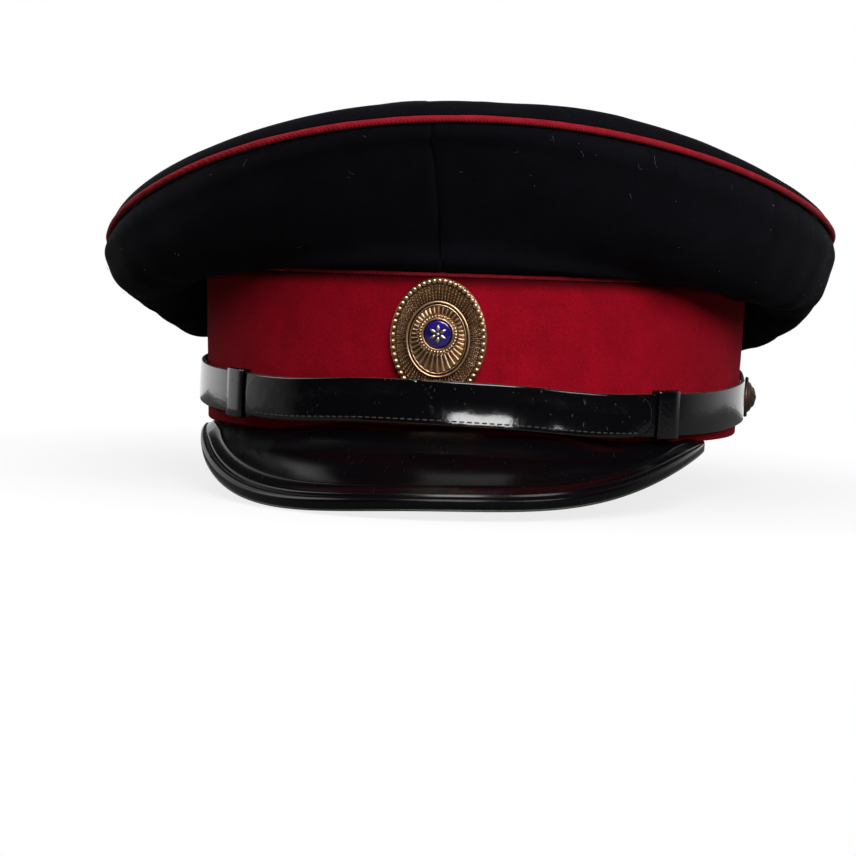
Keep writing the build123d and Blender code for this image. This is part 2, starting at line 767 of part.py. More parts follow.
def build():
    """All nodes by name."""
    on_cockade = cockade_plane()
    nodes = {
        "band_cloth": cut_slots(band_ring(0, BAND_CLOTH, 0, BAND_HEIGHT)),
        "band_stiffener": cut_slots(
            band_ring(STIFFENER_INSET, STIFFENER_THICKNESS, 1, BAND_HEIGHT - 1)
        ),
        "band_welt": welt(),
        "sweatband": band_ring(SWEATBAND_INSET, SWEATBAND_THICKNESS, 0.5, SWEATBAND_HEIGHT),
        "visor_shell": visor_layer(0.0, VISOR_THICKNESS, True),
        "visor_underlay": visor_layer(VISOR_THICKNESS + 0.12, VISOR_UNDERLAY, False),
        "visor_seam_tape": band_arc(3.2, 0.9, -2.0, 9.0, VISOR_ROOT_SPAN - 2),
        "crown_front_left_panel": wall_panel(-90, 0),
        "crown_front_right_panel": wall_panel(0, 90),
        "crown_back_right_panel": wall_panel(90, 180),
        "crown_back_left_panel": wall_panel(180, 270),
        "crown_top": crown_top(),
        "crown_piping": rim_tube(0, 0, PIPING_RADIUS, 0.1 - 180, 179.9),
        "hoop_wire": rim_tube(HOOP_INSET, -HOOP_LIFT, HOOP_RADIUS, 0.3 - 180, 179.7),
        "hoop_ferrule": rim_tube(
            HOOP_INSET, -HOOP_LIFT, FERRULE_RADIUS,
            180 - FERRULE_SPAN / 2, 180 + FERRULE_SPAN / 2, HOOP_RADIUS + 0.05,
        ),
        "front_buckram": wall_panel(
            -BUCKRAM_SPAN, BUCKRAM_SPAN, CROWN_CLOTH + BUCKRAM_GAP, BUCKRAM_THICKNESS, 0.12, 0.84
        ),
        "front_stay": front_stay(),
        "front_wadding": front_wadding(),
        "lining_side": lining_side(),
        "lining_top": crown_sheet(LINING_TOP_OFFSET, LINING_THICKNESS, LINING_TOP_INSET),
        "label_film": label(),
        "strap_left": strap_half(-1),
        "strap_right": strap_half(1),
        "strap_front": strap_front(),
        "strap_stitching": strap_stitching(),
        "keeper_left": keeper(-1),
        "keeper_right": keeper(1),
        "cockade_base": on_cockade * cockade_base(),
        "cockade_beads": on_cockade * cockade_beads(),
        "cockade_rays": on_cockade * cockade_rays(),
        "cockade_ring": on_cockade * cockade_ring(),
        "cockade_medallion": on_cockade * cockade_medallion(),
        "cockade_enamel": on_cockade * cockade_enamel(),
        "cockade_rosette": on_cockade * cockade_rosette(),
        "cockade_prongs": on_cockade * cockade_prongs(),
    }
    for side, word in ((-1, "left"), (1, "right")):
        nodes[f"button_{word}_cap"] = button_cap(side)
        nodes[f"button_{word}_back"] = button_back(side)
        nodes[f"button_{word}_washer"] = button_washer(side)
    return nodes


os.makedirs("parts", exist_ok=True)
for name, shape in build().items():
    export_step(shape, f"parts/{name}.step")
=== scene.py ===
from math import atan, cos, exp, hypot, pi, radians, sin, sqrt

import bmesh
import bpy
from mathutils import Matrix, Vector, noise


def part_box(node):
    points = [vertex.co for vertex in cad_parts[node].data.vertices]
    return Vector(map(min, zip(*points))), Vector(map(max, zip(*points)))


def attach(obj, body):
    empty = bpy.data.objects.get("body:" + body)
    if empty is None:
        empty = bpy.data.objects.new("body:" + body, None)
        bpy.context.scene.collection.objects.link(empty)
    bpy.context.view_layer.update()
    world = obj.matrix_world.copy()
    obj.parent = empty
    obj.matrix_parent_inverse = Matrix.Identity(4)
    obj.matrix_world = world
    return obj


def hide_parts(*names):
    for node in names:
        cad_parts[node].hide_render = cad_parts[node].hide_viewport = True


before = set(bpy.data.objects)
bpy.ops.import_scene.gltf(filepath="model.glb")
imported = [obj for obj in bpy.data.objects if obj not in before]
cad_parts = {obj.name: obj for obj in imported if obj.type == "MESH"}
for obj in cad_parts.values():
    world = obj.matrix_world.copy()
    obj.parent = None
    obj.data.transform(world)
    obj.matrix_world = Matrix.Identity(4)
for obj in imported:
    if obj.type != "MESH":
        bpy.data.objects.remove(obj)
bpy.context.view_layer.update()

# Lengths below are millimetres, as in the CAD part. Vertices are written in metres.
MM = 0.001


def box_mm(node):
    """Lowest and highest corner of a CAD node in millimetres."""
    low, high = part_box(node)
    return Vector(low) / MM, Vector(high) / MM


# Band: an ellipse that flares a little towards the top.
BAND_HIGH = box_mm("band_cloth")[1]
BAND_HEIGHT = BAND_HIGH.z
BAND_FLARE = 2.0
BAND_HALF_WIDTH = BAND_HIGH.x - BAND_FLARE
BAND_HALF_LENGTH = BAND_HIGH.y - BAND_FLARE
BAND_CLOTH = 1.4
SWEATBAND_TOP = box_mm("sweatband")[1].z
SWEATBAND_INSET = 5.4
SWEATBAND_THICKNESS = 1.0
WELT_RADIUS = 0.8
WELT_INSET = 0.25
WELT_SEEN_RADIUS = 0.72
WELT_STEPS = 480
SWEATBAND_STITCHES = 230
SWEATBAND_STITCH_HEIGHT = 4.0

# Rim of the crown.
PIPING_RADIUS = 1.35
PIPING_SEEN_RADIUS = 1.08
PIPING_STEPS = 720
PIPING_LOW, PIPING_HIGH = box_mm("crown_piping")
RIM_HALF_WIDTH = (PIPING_HIGH.x - PIPING_LOW.x) / 2 - PIPING_RADIUS
RIM_HALF_LENGTH = (PIPING_HIGH.y - PIPING_LOW.y) / 2 - PIPING_RADIUS
RIM_CENTRE_X = (PIPING_HIGH.x + PIPING_LOW.x) / 2
RIM_CENTRE_Y = (PIPING_HIGH.y + PIPING_LOW.y) / 2
RIM_FRONT_HEIGHT = 98.0
RIM_SIDE_HEIGHT = 60.7
RIM_BACK_HEIGHT = 57.0
RIM_SIDE_TILT = 6.7
CROWN_CLOTH = 1.3
CROWN_DOME = 3.0
CROWN_ROLL_HEIGHT = 6.3
CROWN_ROLL_WIDTH = 5.5
CROWN_TOP_LIFT = 1.2
TOP_INSET = 0.35
ROLL_PART = 0.22
ROLL_ROWS = 14
LINT_COUNT = 64
WALL_SEAM_HEIGHT = 52.8
WALL_FRONT_BOW = 1.5
WALL_DROOP = 28.5
WALL_SIDE_TILT = 2.4
WALL_BULGE = 4.0

# Visor.
VISOR_HALF_WIDTH = 83.0
VISOR_CENTRE_X = -2.0
VISOR_CENTRE_Y = -34.0
VISOR_FRONT_Y = -147.5
VISOR_FRONT_HEIGHT = -15.0
VISOR_SIDE_DROOP = 8.2
VISOR_CORNER_RISE = 22.5
VISOR_SIDE_TILT = 3.0
VISOR_ROOT_INSET = 2.9
VISOR_ROOT_HEIGHT = -0.15
VISOR_ROOT_SPAN = 67
VISOR_EDGE_SPAN = 86
VISOR_THICKNESS = 2.0
VISOR_UNDERLAY = 0.6
VISOR_UNDERLAY_GAP = 0.12

# Chin strap, level about the button axis, then sunk and tilted.
STRAP_HALF_WIDTH = 91.2
STRAP_HALF_LENGTH = 107.4
STRAP_THICKNESS = 1.6
STRAP_HALF_HEIGHT = 6.7
STRAP_END_HALF_HEIGHT = 9.2
STRAP_OVERLAY_THICKNESS = 1.4
STRAP_OVERLAY_SPAN = 44.5
STRAP_OVERLAY_GAP = 0.08
STRAP_SINK = radians(0.75)
STRAP_TILT = radians(0.8)
BUTTON_Y = 20.0
BUTTON_Z = 13.2
KEEPER_ANGLE = radians(48.2)
KEEPER_WIDTH = 10.0
KEEPER_CLEARANCE = 0.35
STITCH_COUNT = 58
STITCH_ROW = -0.8

# Side buttons.
BUTTON_DOME_RADIUS = 5.6
BUTTON_DOME_HEIGHT = 2.6
BUTTON_STANDOFF = 1.35

# Cockade.
COCKADE_X = -1.0
COCKADE_Z = 31.9
COCKADE_HALF_WIDTH = 15.0
COCKADE_HALF_HEIGHT = 19.0
COCKADE_BASE = 0.9
COCKADE_GAP = 0.15
BEAD_COUNT = 54
RAY_COUNT = 72
ENAMEL_OFFSET = 1.6
ENAMEL_RADIUS = 4.2
PETAL_COUNT = 6

# Studio. Lights: name, watts, width and height in metres, azimuth, elevation, distance in metres.
FLOOR_HEIGHT = -20.5
FLOOR_HALF_SIZE = 430
LIGHTS = (
    ("softbox_front", 14, 0.7, 0.5, 16, 29, 1.3),
    ("softbox_high", 7, 0.9, 0.7, 12, 62, 1.3),
    ("softbox_left", 4, 0.5, 0.9, -95, 36, 1.4),
    ("softbox_right", 6, 0.5, 0.6, 62, 24, 1.4),
)
LIGHT_AIM = (0, -0.06, 0.03)
CAMERA_PLACE = (0.0993, -0.9951, 0.060)
CAMERA_YAW = radians(6.56)
CAMERA_PITCH = radians(-3.55)
CAMERA_ROLL = radians(1.9)
CAMERA_LENS = 122.47


# ---------------------------------------------------------------- numbers
def smooth(value):
    """Soft step from 0 to 1."""
    share = min(1.0, max(0.0, value))
    return share * share * (3 - 2 * share)


def mix(start, end, share):
    """Value between start and end."""
    return start + (end - start) * share


def bell(value, width):
    """Bell curve of height 1 at 0."""
    return exp(-((value / width) ** 2))


def lumps(point, size, octaves=3):
    """Smooth noise from about -1 to 1 with features of a size in millimetres."""
    return noise.fractal(point / size, 0.9, 2.0, octaves)


def turns(count):
    """Even angles round a full circle."""
    return [2 * pi * index / count for index in range(count)]


# ---------------------------------------------------------------- meshes
def add_mesh(name, points, faces, marks=None):
    """New smooth-shaded object from points in millimetres. marks gives each face's material."""
    mesh = bpy.data.meshes.new(name)
    mesh.from_pydata([tuple(point * MM) for point in points], [], faces)
    mesh.polygons.foreach_set("use_smooth", [True] * len(faces))
    if marks:
        mesh.polygons.foreach_set("material_index", marks)
    mesh.update()
    piece = bpy.data.objects.new(name, mesh)
    bpy.context.scene.collection.objects.link(piece)
    return piece


def loft(name, loops, ring=False, mark=None):
    """Closed skin over loops that have the same number of points.

    ring joins the last loop to the first one; otherwise the two ends are capped.
    mark(index) gives the material of the faces that start at a loop's point.
    """
    size = len(loops[0])
    points = [point for loop in loops for point in loop]
    faces = []
    marks = []
    count = len(loops)
    for row in range(count if ring else count - 1):
        here = row * size
        after = (row + 1) % count * size
        for index in range(size):
            beside = (index + 1) % size
            faces.append((here + index, here + beside, after + beside, after + index))
            marks.append(mark(index) if mark else 0)
    if not ring:
        for row, turned in ((0, True), (count - 1, False)):
            centre = sum((loops[row][index] for index in range(size)), Vector()) / size
            points.append(centre)
            hub = len(points) - 1
            for index in range(size):
                pair = (row * size + index, row * size + (index + 1) % size)
                faces.append((pair[1], pair[0], hub) if turned else (pair[0], pair[1], hub))
                marks.append(mark(index) if mark else 0)
    piece = add_mesh(name, points, faces, marks)
    tidy(piece)
    return piece


def tidy(piece):
    """Joins doubled points and turns every face outward."""
    work = bmesh.new()
    work.from_mesh(piece.data)
    bmesh.ops.remove_doubles(work, verts=work.verts, dist=0.00001)
    bmesh.ops.recalc_face_normals(work, faces=work.faces)
    work.to_mesh(piece.data)
    work.free()
    piece.data.update()


def circle(centre, first, second, first_size, second_size, sides):
    """Loop of points round a centre, on two axes with a half size each."""
    loop = []
    for turn in turns(sides):
        loop.append(centre + first * (first_size * cos(turn)) + second * (second_size * sin(turn)))
    return loop


def tube(name, path, radius, sides=12, ring=False):
    """Round tube along points in millimetres. radius may be a function of the index."""
    loops = []
    count = len(path)
    for index, point in enumerate(path):
        before = path[(index - 1) % count] if ring or index else point
        after = path[(index + 1) % count] if ring or index < count - 1 else point
        along = (after - before).normalized()
        across = along.cross(Vector((0, 0, 1)))
        across = across.normalized() if across.length > 0.01 else Vector((1, 0, 0))
        high = across.cross(along).normalized()
        size = radius(index) if callable(radius) else radius
        loops.append(circle(point, across, high, size, size, sides))
    return loft(name, loops, ring)


def capsule_points(centre, along, across, up, half_length, half_width, half_height):
    """Rings of a rounded stitch about its long direction."""
    rings = []
    for share in (-1.0, -0.92, -0.7, -0.35, 0.0, 0.35, 0.7, 0.92, 1.0):
        size = max(0.02, sqrt(max(0.0, 1 - share**4)))
        middle = centre + along * (half_length * share)
        rings.append(circle(middle, across, up, half_width * size, half_height * size, 8))
    return rings


def join_lofts(name, groups):
    """One object from several capped lofts, each a list of loops."""
    points = []
    faces = []
    for loops in groups:
        size = len(loops[0])
        start = len(points)
        points += [point for loop in loops for point in loop]
        for row in range(len(loops) - 1):
            for index in range(size):
                beside = (index + 1) % size
                a = start + row * size
                faces.append((a + index, a + beside, a + size + beside, a + size + index))
        faces.append(tuple(start + index for index in reversed(range(size))))
        faces.append(tuple(start + (len(loops) - 1) * size + index for index in range(size)))
    piece = add_mesh(name, points, faces)
    tidy(piece)
    return piece


def place_piece(piece, body, slot, material, *nodes):
    """Gives a piece its material and body, and hides the CAD nodes that it stands for. slot is not
    used.
    """
    materials = material if isinstance(material, (list, tuple)) else [material]
    for entry in materials:
        piece.data.materials.append(entry)
    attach(piece, body)
    if nodes:
        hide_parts(*nodes)
    return piece


# ---------------------------------------------------------------- materials
class Graph:
    """Short way to write the nodes of a material, or of the world."""

    def __init__(self, name, world=False):
        kind = bpy.data.worlds if world else bpy.data.materials
        self.owner = kind.new(name)
        self.owner.use_nodes = True
        self.tree = self.owner.node_tree
        self.shader = self.tree.nodes["Background" if world else "Principled BSDF"]
        where = self.tree.nodes.new("ShaderNodeTexCoord")
        self.place = where.outputs["Generated" if world else "Object"]
        self.bump = None

    def node(self, kind, **values):
        """New node; values set its inputs by name."""
        made = self.tree.nodes.new(kind)
        for key, value in values.items():
            made.inputs[key.replace("_", " ")].default_value = value
        return made

    def link(self, output, node, key):
        self.tree.links.new(output, node.inputs[key])

    def stretch(self, x, y, z):
        """Coordinates scaled along each axis."""
        made = self.tree.nodes.new("ShaderNodeMapping")
        made.inputs["Scale"].default_value = (x, y, z)
        self.link(self.place, made, "Vector")
        return made.outputs["Vector"]

    def noise(self, scale, detail=3.0, rough=0.55, place=None, distortion=0.0):
        made = self.node(
            "ShaderNodeTexNoise", Scale=scale, Detail=detail, Roughness=rough, Distortion=distortion
        )
        self.link(place or self.place, made, "Vector")
        return made.outputs["Fac"]

    def voronoi(self, scale):
        made = self.node("ShaderNodeTexVoronoi", Scale=scale)
        self.link(self.place, made, "Vector")
        return made.outputs["Distance"]

    def ramp(self, value, *stops):
        """Colour ramp; stops are (position, grey or colour)."""
        made = self.tree.nodes.new("ShaderNodeValToRGB")
        ramp = made.color_ramp
        while len(ramp.elements) < len(stops):
            ramp.elements.new(0.5)
        for element, (position, colour) in reversed(list(zip(ramp.elements, stops))):
            element.position = position
            colour = (colour,) * 3 if isinstance(colour, (int, float)) else colour
            element.color = (*colour, 1)
        self.link(value, made, "Fac")
        return made.outputs["Color"]

    def blend(self, factor, first, second, mode="MIX"):
        """Mix of two colours or outputs."""
        made = self.tree.nodes.new("ShaderNodeMix")
        made.data_type = "RGBA"
        made.blend_type = mode
        for value, key in ((factor, 0), (first, 6), (second, 7)):
            if isinstance(value, bpy.types.NodeSocket):
                self.tree.links.new(value, made.inputs[key])
            elif key == 0:
                made.inputs[0].default_value = value
            else:
                made.inputs[key].default_value = (*value, 1)
        return made.outputs[2]

    def shades(self, value, low, high, dark, light):
        """Colour from dark to light as a value runs from low to high."""
        return self.blend(self.ramp(value, (low, 0.0), (high, 1.0)), dark, light)

    def maths(self, operation, first, second):
        """Result of a sum on two numbers or outputs."""
        made = self.tree.nodes.new("ShaderNodeMath")
        made.operation = operation
        for index, value in enumerate((first, second)):
            if isinstance(value, bpy.types.NodeSocket):
                self.tree.links.new(value, made.inputs[index])
            else:
                made.inputs[index].default_value = value
        return made.outputs[0]

    def relief(self, height, strength, distance):
        """Adds a bump on top of the ones already there. distance is in millimetres."""
        made = self.node("ShaderNodeBump", Strength=strength, Distance=distance * MM)
        self.link(height, made, "Height")
        if self.bump:
            self.link(self.bump, made, "Normal")
        self.bump = made.outputs["Normal"]
        self.link(self.bump, self.shader, "Normal")

    def set(self, **values):
        """Sets or links the shader's inputs by name."""
        for key, value in values.items():
            socket = self.shader.inputs[key.replace("_", " ")]
            if isinstance(value, bpy.types.NodeSocket):
                self.tree.links.new(value, socket)
            else:
                socket.default_value = value if isinstance(value, (int, float)) else (*value, 1)


def wool(name, dark, light, fleck, sheen, tint, painted_shadow=None):
    """Milled wool: felted fibres, cloudy colour and a soft sheen.

    The last argument is an optional pair of heights in metres between which painted shade darkens
    the colour upwards, standing for the shadow that an overhang casts.
    """
    graph = Graph(name)
    cloud = graph.noise(90, 4, 0.6)
    fibre = graph.noise(900, 5, 0.7, graph.stretch(1, 1.6, 0.8), 1.5)
    fine = graph.noise(2600, 3, 0.6)
    base = graph.shades(cloud, 0.3, 0.75, dark, light)
    speck = graph.ramp(fibre, (0.6, 0.0), (0.78, 1.0))
    colour = graph.blend(graph.maths("MULTIPLY", speck, 0.5), base, fleck)
    pit = graph.ramp(fine, (0.3, 0.55), (0.6, 1.0))
    colour = graph.blend(1.0, colour, pit, "MULTIPLY")
    # Painted shade: the colour darkens towards the top between the two heights, standing for a
    # shadow cast from above.
    if painted_shadow:
        height = graph.node("ShaderNodeSeparateXYZ")
        graph.link(graph.place, height, 0)
        low, high = painted_shadow
        unshaded = graph.node(
            "ShaderNodeMapRange", From_Min=low, From_Max=high, To_Min=1.0, To_Max=0.12
        )
        unshaded.interpolation_type = "SMOOTHSTEP"
        graph.link(height.outputs["Z"], unshaded, "Value")
        colour = graph.blend(1.0, colour, unshaded.outputs["Result"], "MULTIPLY")
    graph.set(Base_Color=colour)
    graph.set(Roughness=graph.ramp(fibre, (0.3, 0.98), (0.7, 0.85)))
    graph.set(Sheen_Weight=sheen, Sheen_Roughness=0.45, Sheen_Tint=tint)
    graph.set(Specular_IOR_Level=0.06)
    graph.relief(cloud, 0.35, 0.5)
    graph.relief(fibre, 0.7, 0.35)
    graph.relief(fine, 0.5, 0.15)
    return graph.owner


def twill_piping(name, dark, light):
    """Cloth cut on the bias and drawn round a cord: fine slanted ribs."""
    graph = Graph(name)
    ribs = graph.node("ShaderNodeTexWave", Scale=520, Distortion=3.0, Detail=2.0)
    ribs.bands_direction = "DIAGONAL"
    graph.link(graph.place, ribs, "Vector")
    cloud = graph.noise(250, 4, 0.65)
    fibre = graph.noise(1800, 4, 0.7)
    base = graph.shades(cloud, 0.3, 0.7, dark, light)
    shade = graph.ramp(ribs.outputs["Fac"], (0.1, 0.6), (0.7, 1.0))
    graph.set(Base_Color=graph.blend(1.0, base, shade, "MULTIPLY"))
    graph.set(Roughness=graph.ramp(fibre, (0.3, 0.95), (0.7, 0.8)))
    graph.set(Sheen_Weight=0.12, Sheen_Roughness=0.4, Sheen_Tint=(0.9, 0.3, 0.3))
    graph.set(Specular_IOR_Level=0.1)
    graph.relief(ribs.outputs["Fac"], 0.5, 0.2)
    graph.relief(fibre, 0.5, 0.15)
    return graph.owner


def lacquer(name, base, rough, scratch, peel, grain, coat, ior):
    """Black lacquered or patent surface with soft waves, fine scratches and a little dust."""
    graph = Graph(name)
    wave = graph.noise(38, 2, 0.5)
    skin = graph.noise(grain, 3, 0.5)
    lines = graph.noise(1100, 4, 0.65)
    cuts = graph.noise(300, 1, 0.5, graph.stretch(4, 0.25, 1.5), 0.4)
    dust = graph.noise(700, 4, 0.75)
    haze = graph.ramp(wave, (0.35, rough), (0.75, rough * 1.6))
    marks = graph.ramp(cuts, (0.73, 0.0), (0.76, 1.0))
    worn = graph.maths("MULTIPLY", marks, scratch)
    graph.set(Roughness=graph.maths("ADD", graph.maths("MULTIPLY", worn, 0.5), haze))
    speck = graph.ramp(dust, (0.7, 0.0), (0.78, 1.0))
    grey = graph.blend(graph.maths("MULTIPLY", speck, 0.12), base, (0.12, 0.11, 0.11))
    graph.set(Base_Color=graph.blend(graph.maths("MULTIPLY", worn, 0.12), grey, (0.16, 0.15, 0.15)))
    graph.set(IOR=ior, Specular_IOR_Level=0.5, Coat_Weight=coat, Coat_Roughness=0.05)
    graph.relief(wave, 0.3, peel * 3)
    graph.relief(skin, 0.5, peel)
    graph.relief(lines, 0.3, peel * 0.6)
    graph.relief(worn, 0.2, 0.03)
    return graph.owner


def metal(name, bright, dull, rough, patina):
    """Aged metal: darker in its hollows, brighter and smoother where it is rubbed."""
    graph = Graph(name)
    cloud = graph.noise(240, 5, 0.65)
    fine = graph.noise(2200, 3, 0.6)
    hollow = graph.tree.nodes.new("ShaderNodeAmbientOcclusion")
    hollow.inputs["Distance"].default_value = 0.9 * MM
    hollow.samples = 6
    open_share = graph.ramp(hollow.outputs["AO"], (0.45, 0.0), (0.95, 1.0))
    base = graph.shades(cloud, 0.35, 0.7, dull, bright)
    graph.set(Base_Color=graph.blend(open_share, patina, base))
    graph.set(Metallic=1.0, Roughness=graph.ramp(cloud, (0.3, rough * 1.5), (0.7, rough)))
    graph.relief(cloud, 0.2, 0.06)
    graph.relief(fine, 0.25, 0.03)
    return graph.owner


def leather(name, dark, light, rough):
    """Grained leather with worn patches."""
    graph = Graph(name)
    cells = graph.voronoi(900)
    cloud = graph.noise(45, 4, 0.6)
    grain = graph.noise(1500, 3, 0.6)
    base = graph.shades(cloud, 0.3, 0.75, dark, light)
    shade = graph.ramp(cells, (0.05, 0.6), (0.5, 1.0))
    graph.set(Base_Color=graph.blend(0.8, base, shade, "MULTIPLY"))
    graph.set(Roughness=graph.ramp(cloud, (0.3, rough * 1.2), (0.75, rough * 0.8)))
    graph.relief(cells, 0.5, 0.2)
    graph.relief(grain, 0.3, 0.08)
    return graph.owner


def satin(name, dark, light):
    """Woven satin lining with fine floats and a bright sheen."""
    graph = Graph(name)
    warp = graph.node("ShaderNodeTexWave", Scale=700, Distortion=0.6, Detail=1.0)
    weft = graph.node("ShaderNodeTexWave", Scale=480, Distortion=0.6, Detail=1.0)
    weft.bands_direction = "Y"
    for wave in (warp, weft):
        graph.link(graph.place, wave, "Vector")
    cloud = graph.noise(60, 3, 0.5)
    weave = graph.maths("MULTIPLY", warp.outputs["Fac"], weft.outputs["Fac"])
    base = graph.shades(cloud, 0.3, 0.7, dark, light)
    shade = graph.ramp(weave, (0.0, 0.6), (0.6, 1.0))
    graph.set(Base_Color=graph.blend(0.7, base, shade, "MULTIPLY"))
    graph.set(Roughness=graph.ramp(cloud, (0.3, 0.42), (0.7, 0.3)))
    graph.set(Sheen_Weight=0.3, Sheen_Roughness=0.3, Sheen_Tint=light)
    graph.relief(weave, 0.3, 0.12)
    return graph.owner


def board(name, dark, light):
    """Pressed board or woven stiffening with short fibres."""
    graph = Graph(name)
    fibre = graph.noise(400, 5, 0.7, graph.stretch(1, 1, 4), 1.0)
    cloud = graph.noise(60, 3, 0.5)
    graph.set(Base_Color=graph.shades(fibre, 0.3, 0.7, dark, light))
    graph.set(Roughness=graph.ramp(cloud, (0.3, 0.95), (0.7, 0.8)))
    graph.relief(fibre, 0.5, 0.2)
    return graph.owner


def enamel(name, deep, light):
    """Fired enamel: glassy, a little uneven in depth."""
    graph = Graph(name)
    cloud = graph.noise(350, 3, 0.5)
    pits = graph.noise(1600, 2, 0.5)
    graph.set(Base_Color=graph.shades(cloud, 0.35, 0.75, deep, light))
    graph.set(Roughness=graph.ramp(pits, (0.3, 0.08), (0.7, 0.16)))
    graph.set(Coat_Weight=1.0, Coat_Roughness=0.03)
    graph.relief(cloud, 0.15, 0.1)
    return graph.owner


def thread(name, dark, light):
    """Twisted sewing thread."""
    graph = Graph(name)
    twist = graph.node("ShaderNodeTexWave", Scale=1500, Distortion=1.0, Detail=1.0)
    twist.bands_direction = "DIAGONAL"
    graph.link(graph.place, twist, "Vector")
    cloud = graph.noise(500, 3, 0.6)
    graph.set(Base_Color=graph.shades(cloud, 0.3, 0.7, dark, light))
    graph.set(Roughness=graph.ramp(twist.outputs["Fac"], (0.2, 0.75), (0.8, 0.5)))
    graph.relief(twist.outputs["Fac"], 0.6, 0.12)
    return graph.owner


def film(name):
    """Clear oiled film, a little yellow and creased."""
    graph = Graph(name)
    crease = graph.noise(55, 4, 0.6, None, 1.2)
    stain = graph.noise(20, 3, 0.5)
    graph.set(Base_Color=graph.shades(stain, 0.3, 0.8, (0.3, 0.28, 0.2), (0.5, 0.45, 0.3)))
    graph.set(Roughness=graph.ramp(crease, (0.3, 0.12), (0.7, 0.3)))
    graph.set(Alpha=0.55, Coat_Weight=0.5, Coat_Roughness=0.08)
    graph.relief(crease, 0.5, 0.6)
    return graph.owner


NAVY = wool(
    "navy_wool", (0.0024, 0.0023, 0.0038), (0.0042, 0.004, 0.0066), (0.016, 0.017, 0.026),
    0.03, (0.35, 0.36, 0.42),
)
# The red band's last pair of heights paints the shadow of the crown's overhang onto the top of the
# band.
RED = wool(
    "red_wool", (0.26, 0.0016, 0.009), (0.36, 0.0024, 0.014), (0.5, 0.012, 0.035),
    0.05, (0.9, 0.12, 0.18), (0.0464, 0.0514),
)
PIPING = twill_piping("red_piping", (0.22, 0.005, 0.012), (0.34, 0.01, 0.022))
VISOR_BLACK = lacquer("black_lacquer", (0.0018, 0.0016, 0.0022), 0.17, 0.25, 0.02, 500, 0.0, 1.33)
PATENT = lacquer("patent_leather", (0.002, 0.0018, 0.0024), 0.09, 0.6, 0.05, 800, 0.3, 1.5)
CUT_EDGE = leather("cut_leather_edge", (0.05, 0.035, 0.025), (0.12, 0.09, 0.07), 0.7)
BRASS = metal("brass", (0.97, 0.72, 0.48), (0.66, 0.4, 0.2), 0.27, (0.07, 0.026, 0.012))
BRONZE = metal("button_bronze", (0.2, 0.13, 0.09), (0.11, 0.07, 0.055), 0.4, (0.03, 0.02, 0.015))
PALE_METAL = metal("pale_metal", (0.75, 0.68, 0.5), (0.6, 0.52, 0.36), 0.25, (0.2, 0.15, 0.08))
STEEL = metal("spring_steel", (0.5, 0.5, 0.5), (0.32, 0.32, 0.33), 0.35, (0.08, 0.07, 0.06))
BLUE = enamel("blue_enamel", (0.009, 0.004, 0.07), (0.028, 0.012, 0.22))
SWEAT = leather("sweatband_leather", (0.12, 0.06, 0.03), (0.24, 0.13, 0.07), 0.5)
SATIN = satin("lining_satin", (0.035, 0.04, 0.03), (0.07, 0.08, 0.055))
UNDERLAY = leather("visor_underlay", (0.02, 0.028, 0.018), (0.04, 0.055, 0.035), 0.45)
BOARD = board("pressed_board", (0.3, 0.25, 0.17), (0.5, 0.43, 0.3))
PADDING = board("wadding", (0.5, 0.48, 0.42), (0.75, 0.72, 0.65))
BLACK_THREAD = thread("black_thread", (0.012, 0.011, 0.011), (0.05, 0.045, 0.045))
PALE_THREAD = thread("pale_thread", (0.25, 0.2, 0.13), (0.45, 0.38, 0.26))
FILM = film("clear_film")
LINT = thread("lint", (0.07, 0.07, 0.07), (0.25, 0.24, 0.23))


# ---------------------------------------------------------------- band and crown shapes
def band_point(angle, inset, z):
    """Point on the band's shell. Angle 0 is the front."""
    flare = BAND_FLARE * z / BAND_HEIGHT
    x = (BAND_HALF_WIDTH + flare - inset) * sin(angle)
    return Vector((x, -(BAND_HALF_LENGTH + flare - inset) * cos(angle), z))


def rim_height(u, v):
    """Height of the hoop's surface at u across and v towards the front, -1 to 1."""
    side_dip = ((RIM_FRONT_HEIGHT + RIM_BACK_HEIGHT) / 2 - RIM_SIDE_HEIGHT) / 2
    middle = (RIM_FRONT_HEIGHT + RIM_BACK_HEIGHT) / 2 - side_dip
    slope = (RIM_FRONT_HEIGHT - RIM_BACK_HEIGHT) / 2
    return middle + slope * v + side_dip * (v * v - u * u) + RIM_SIDE_TILT * u


def rim_point(angle):
    """Point on the rim. Angle 0 is the front."""
    x = RIM_CENTRE_X + RIM_HALF_WIDTH * sin(angle)
    y = RIM_CENTRE_Y - RIM_HALF_LENGTH * cos(angle)
    return Vector((x, y, rim_height(sin(angle), cos(angle))))


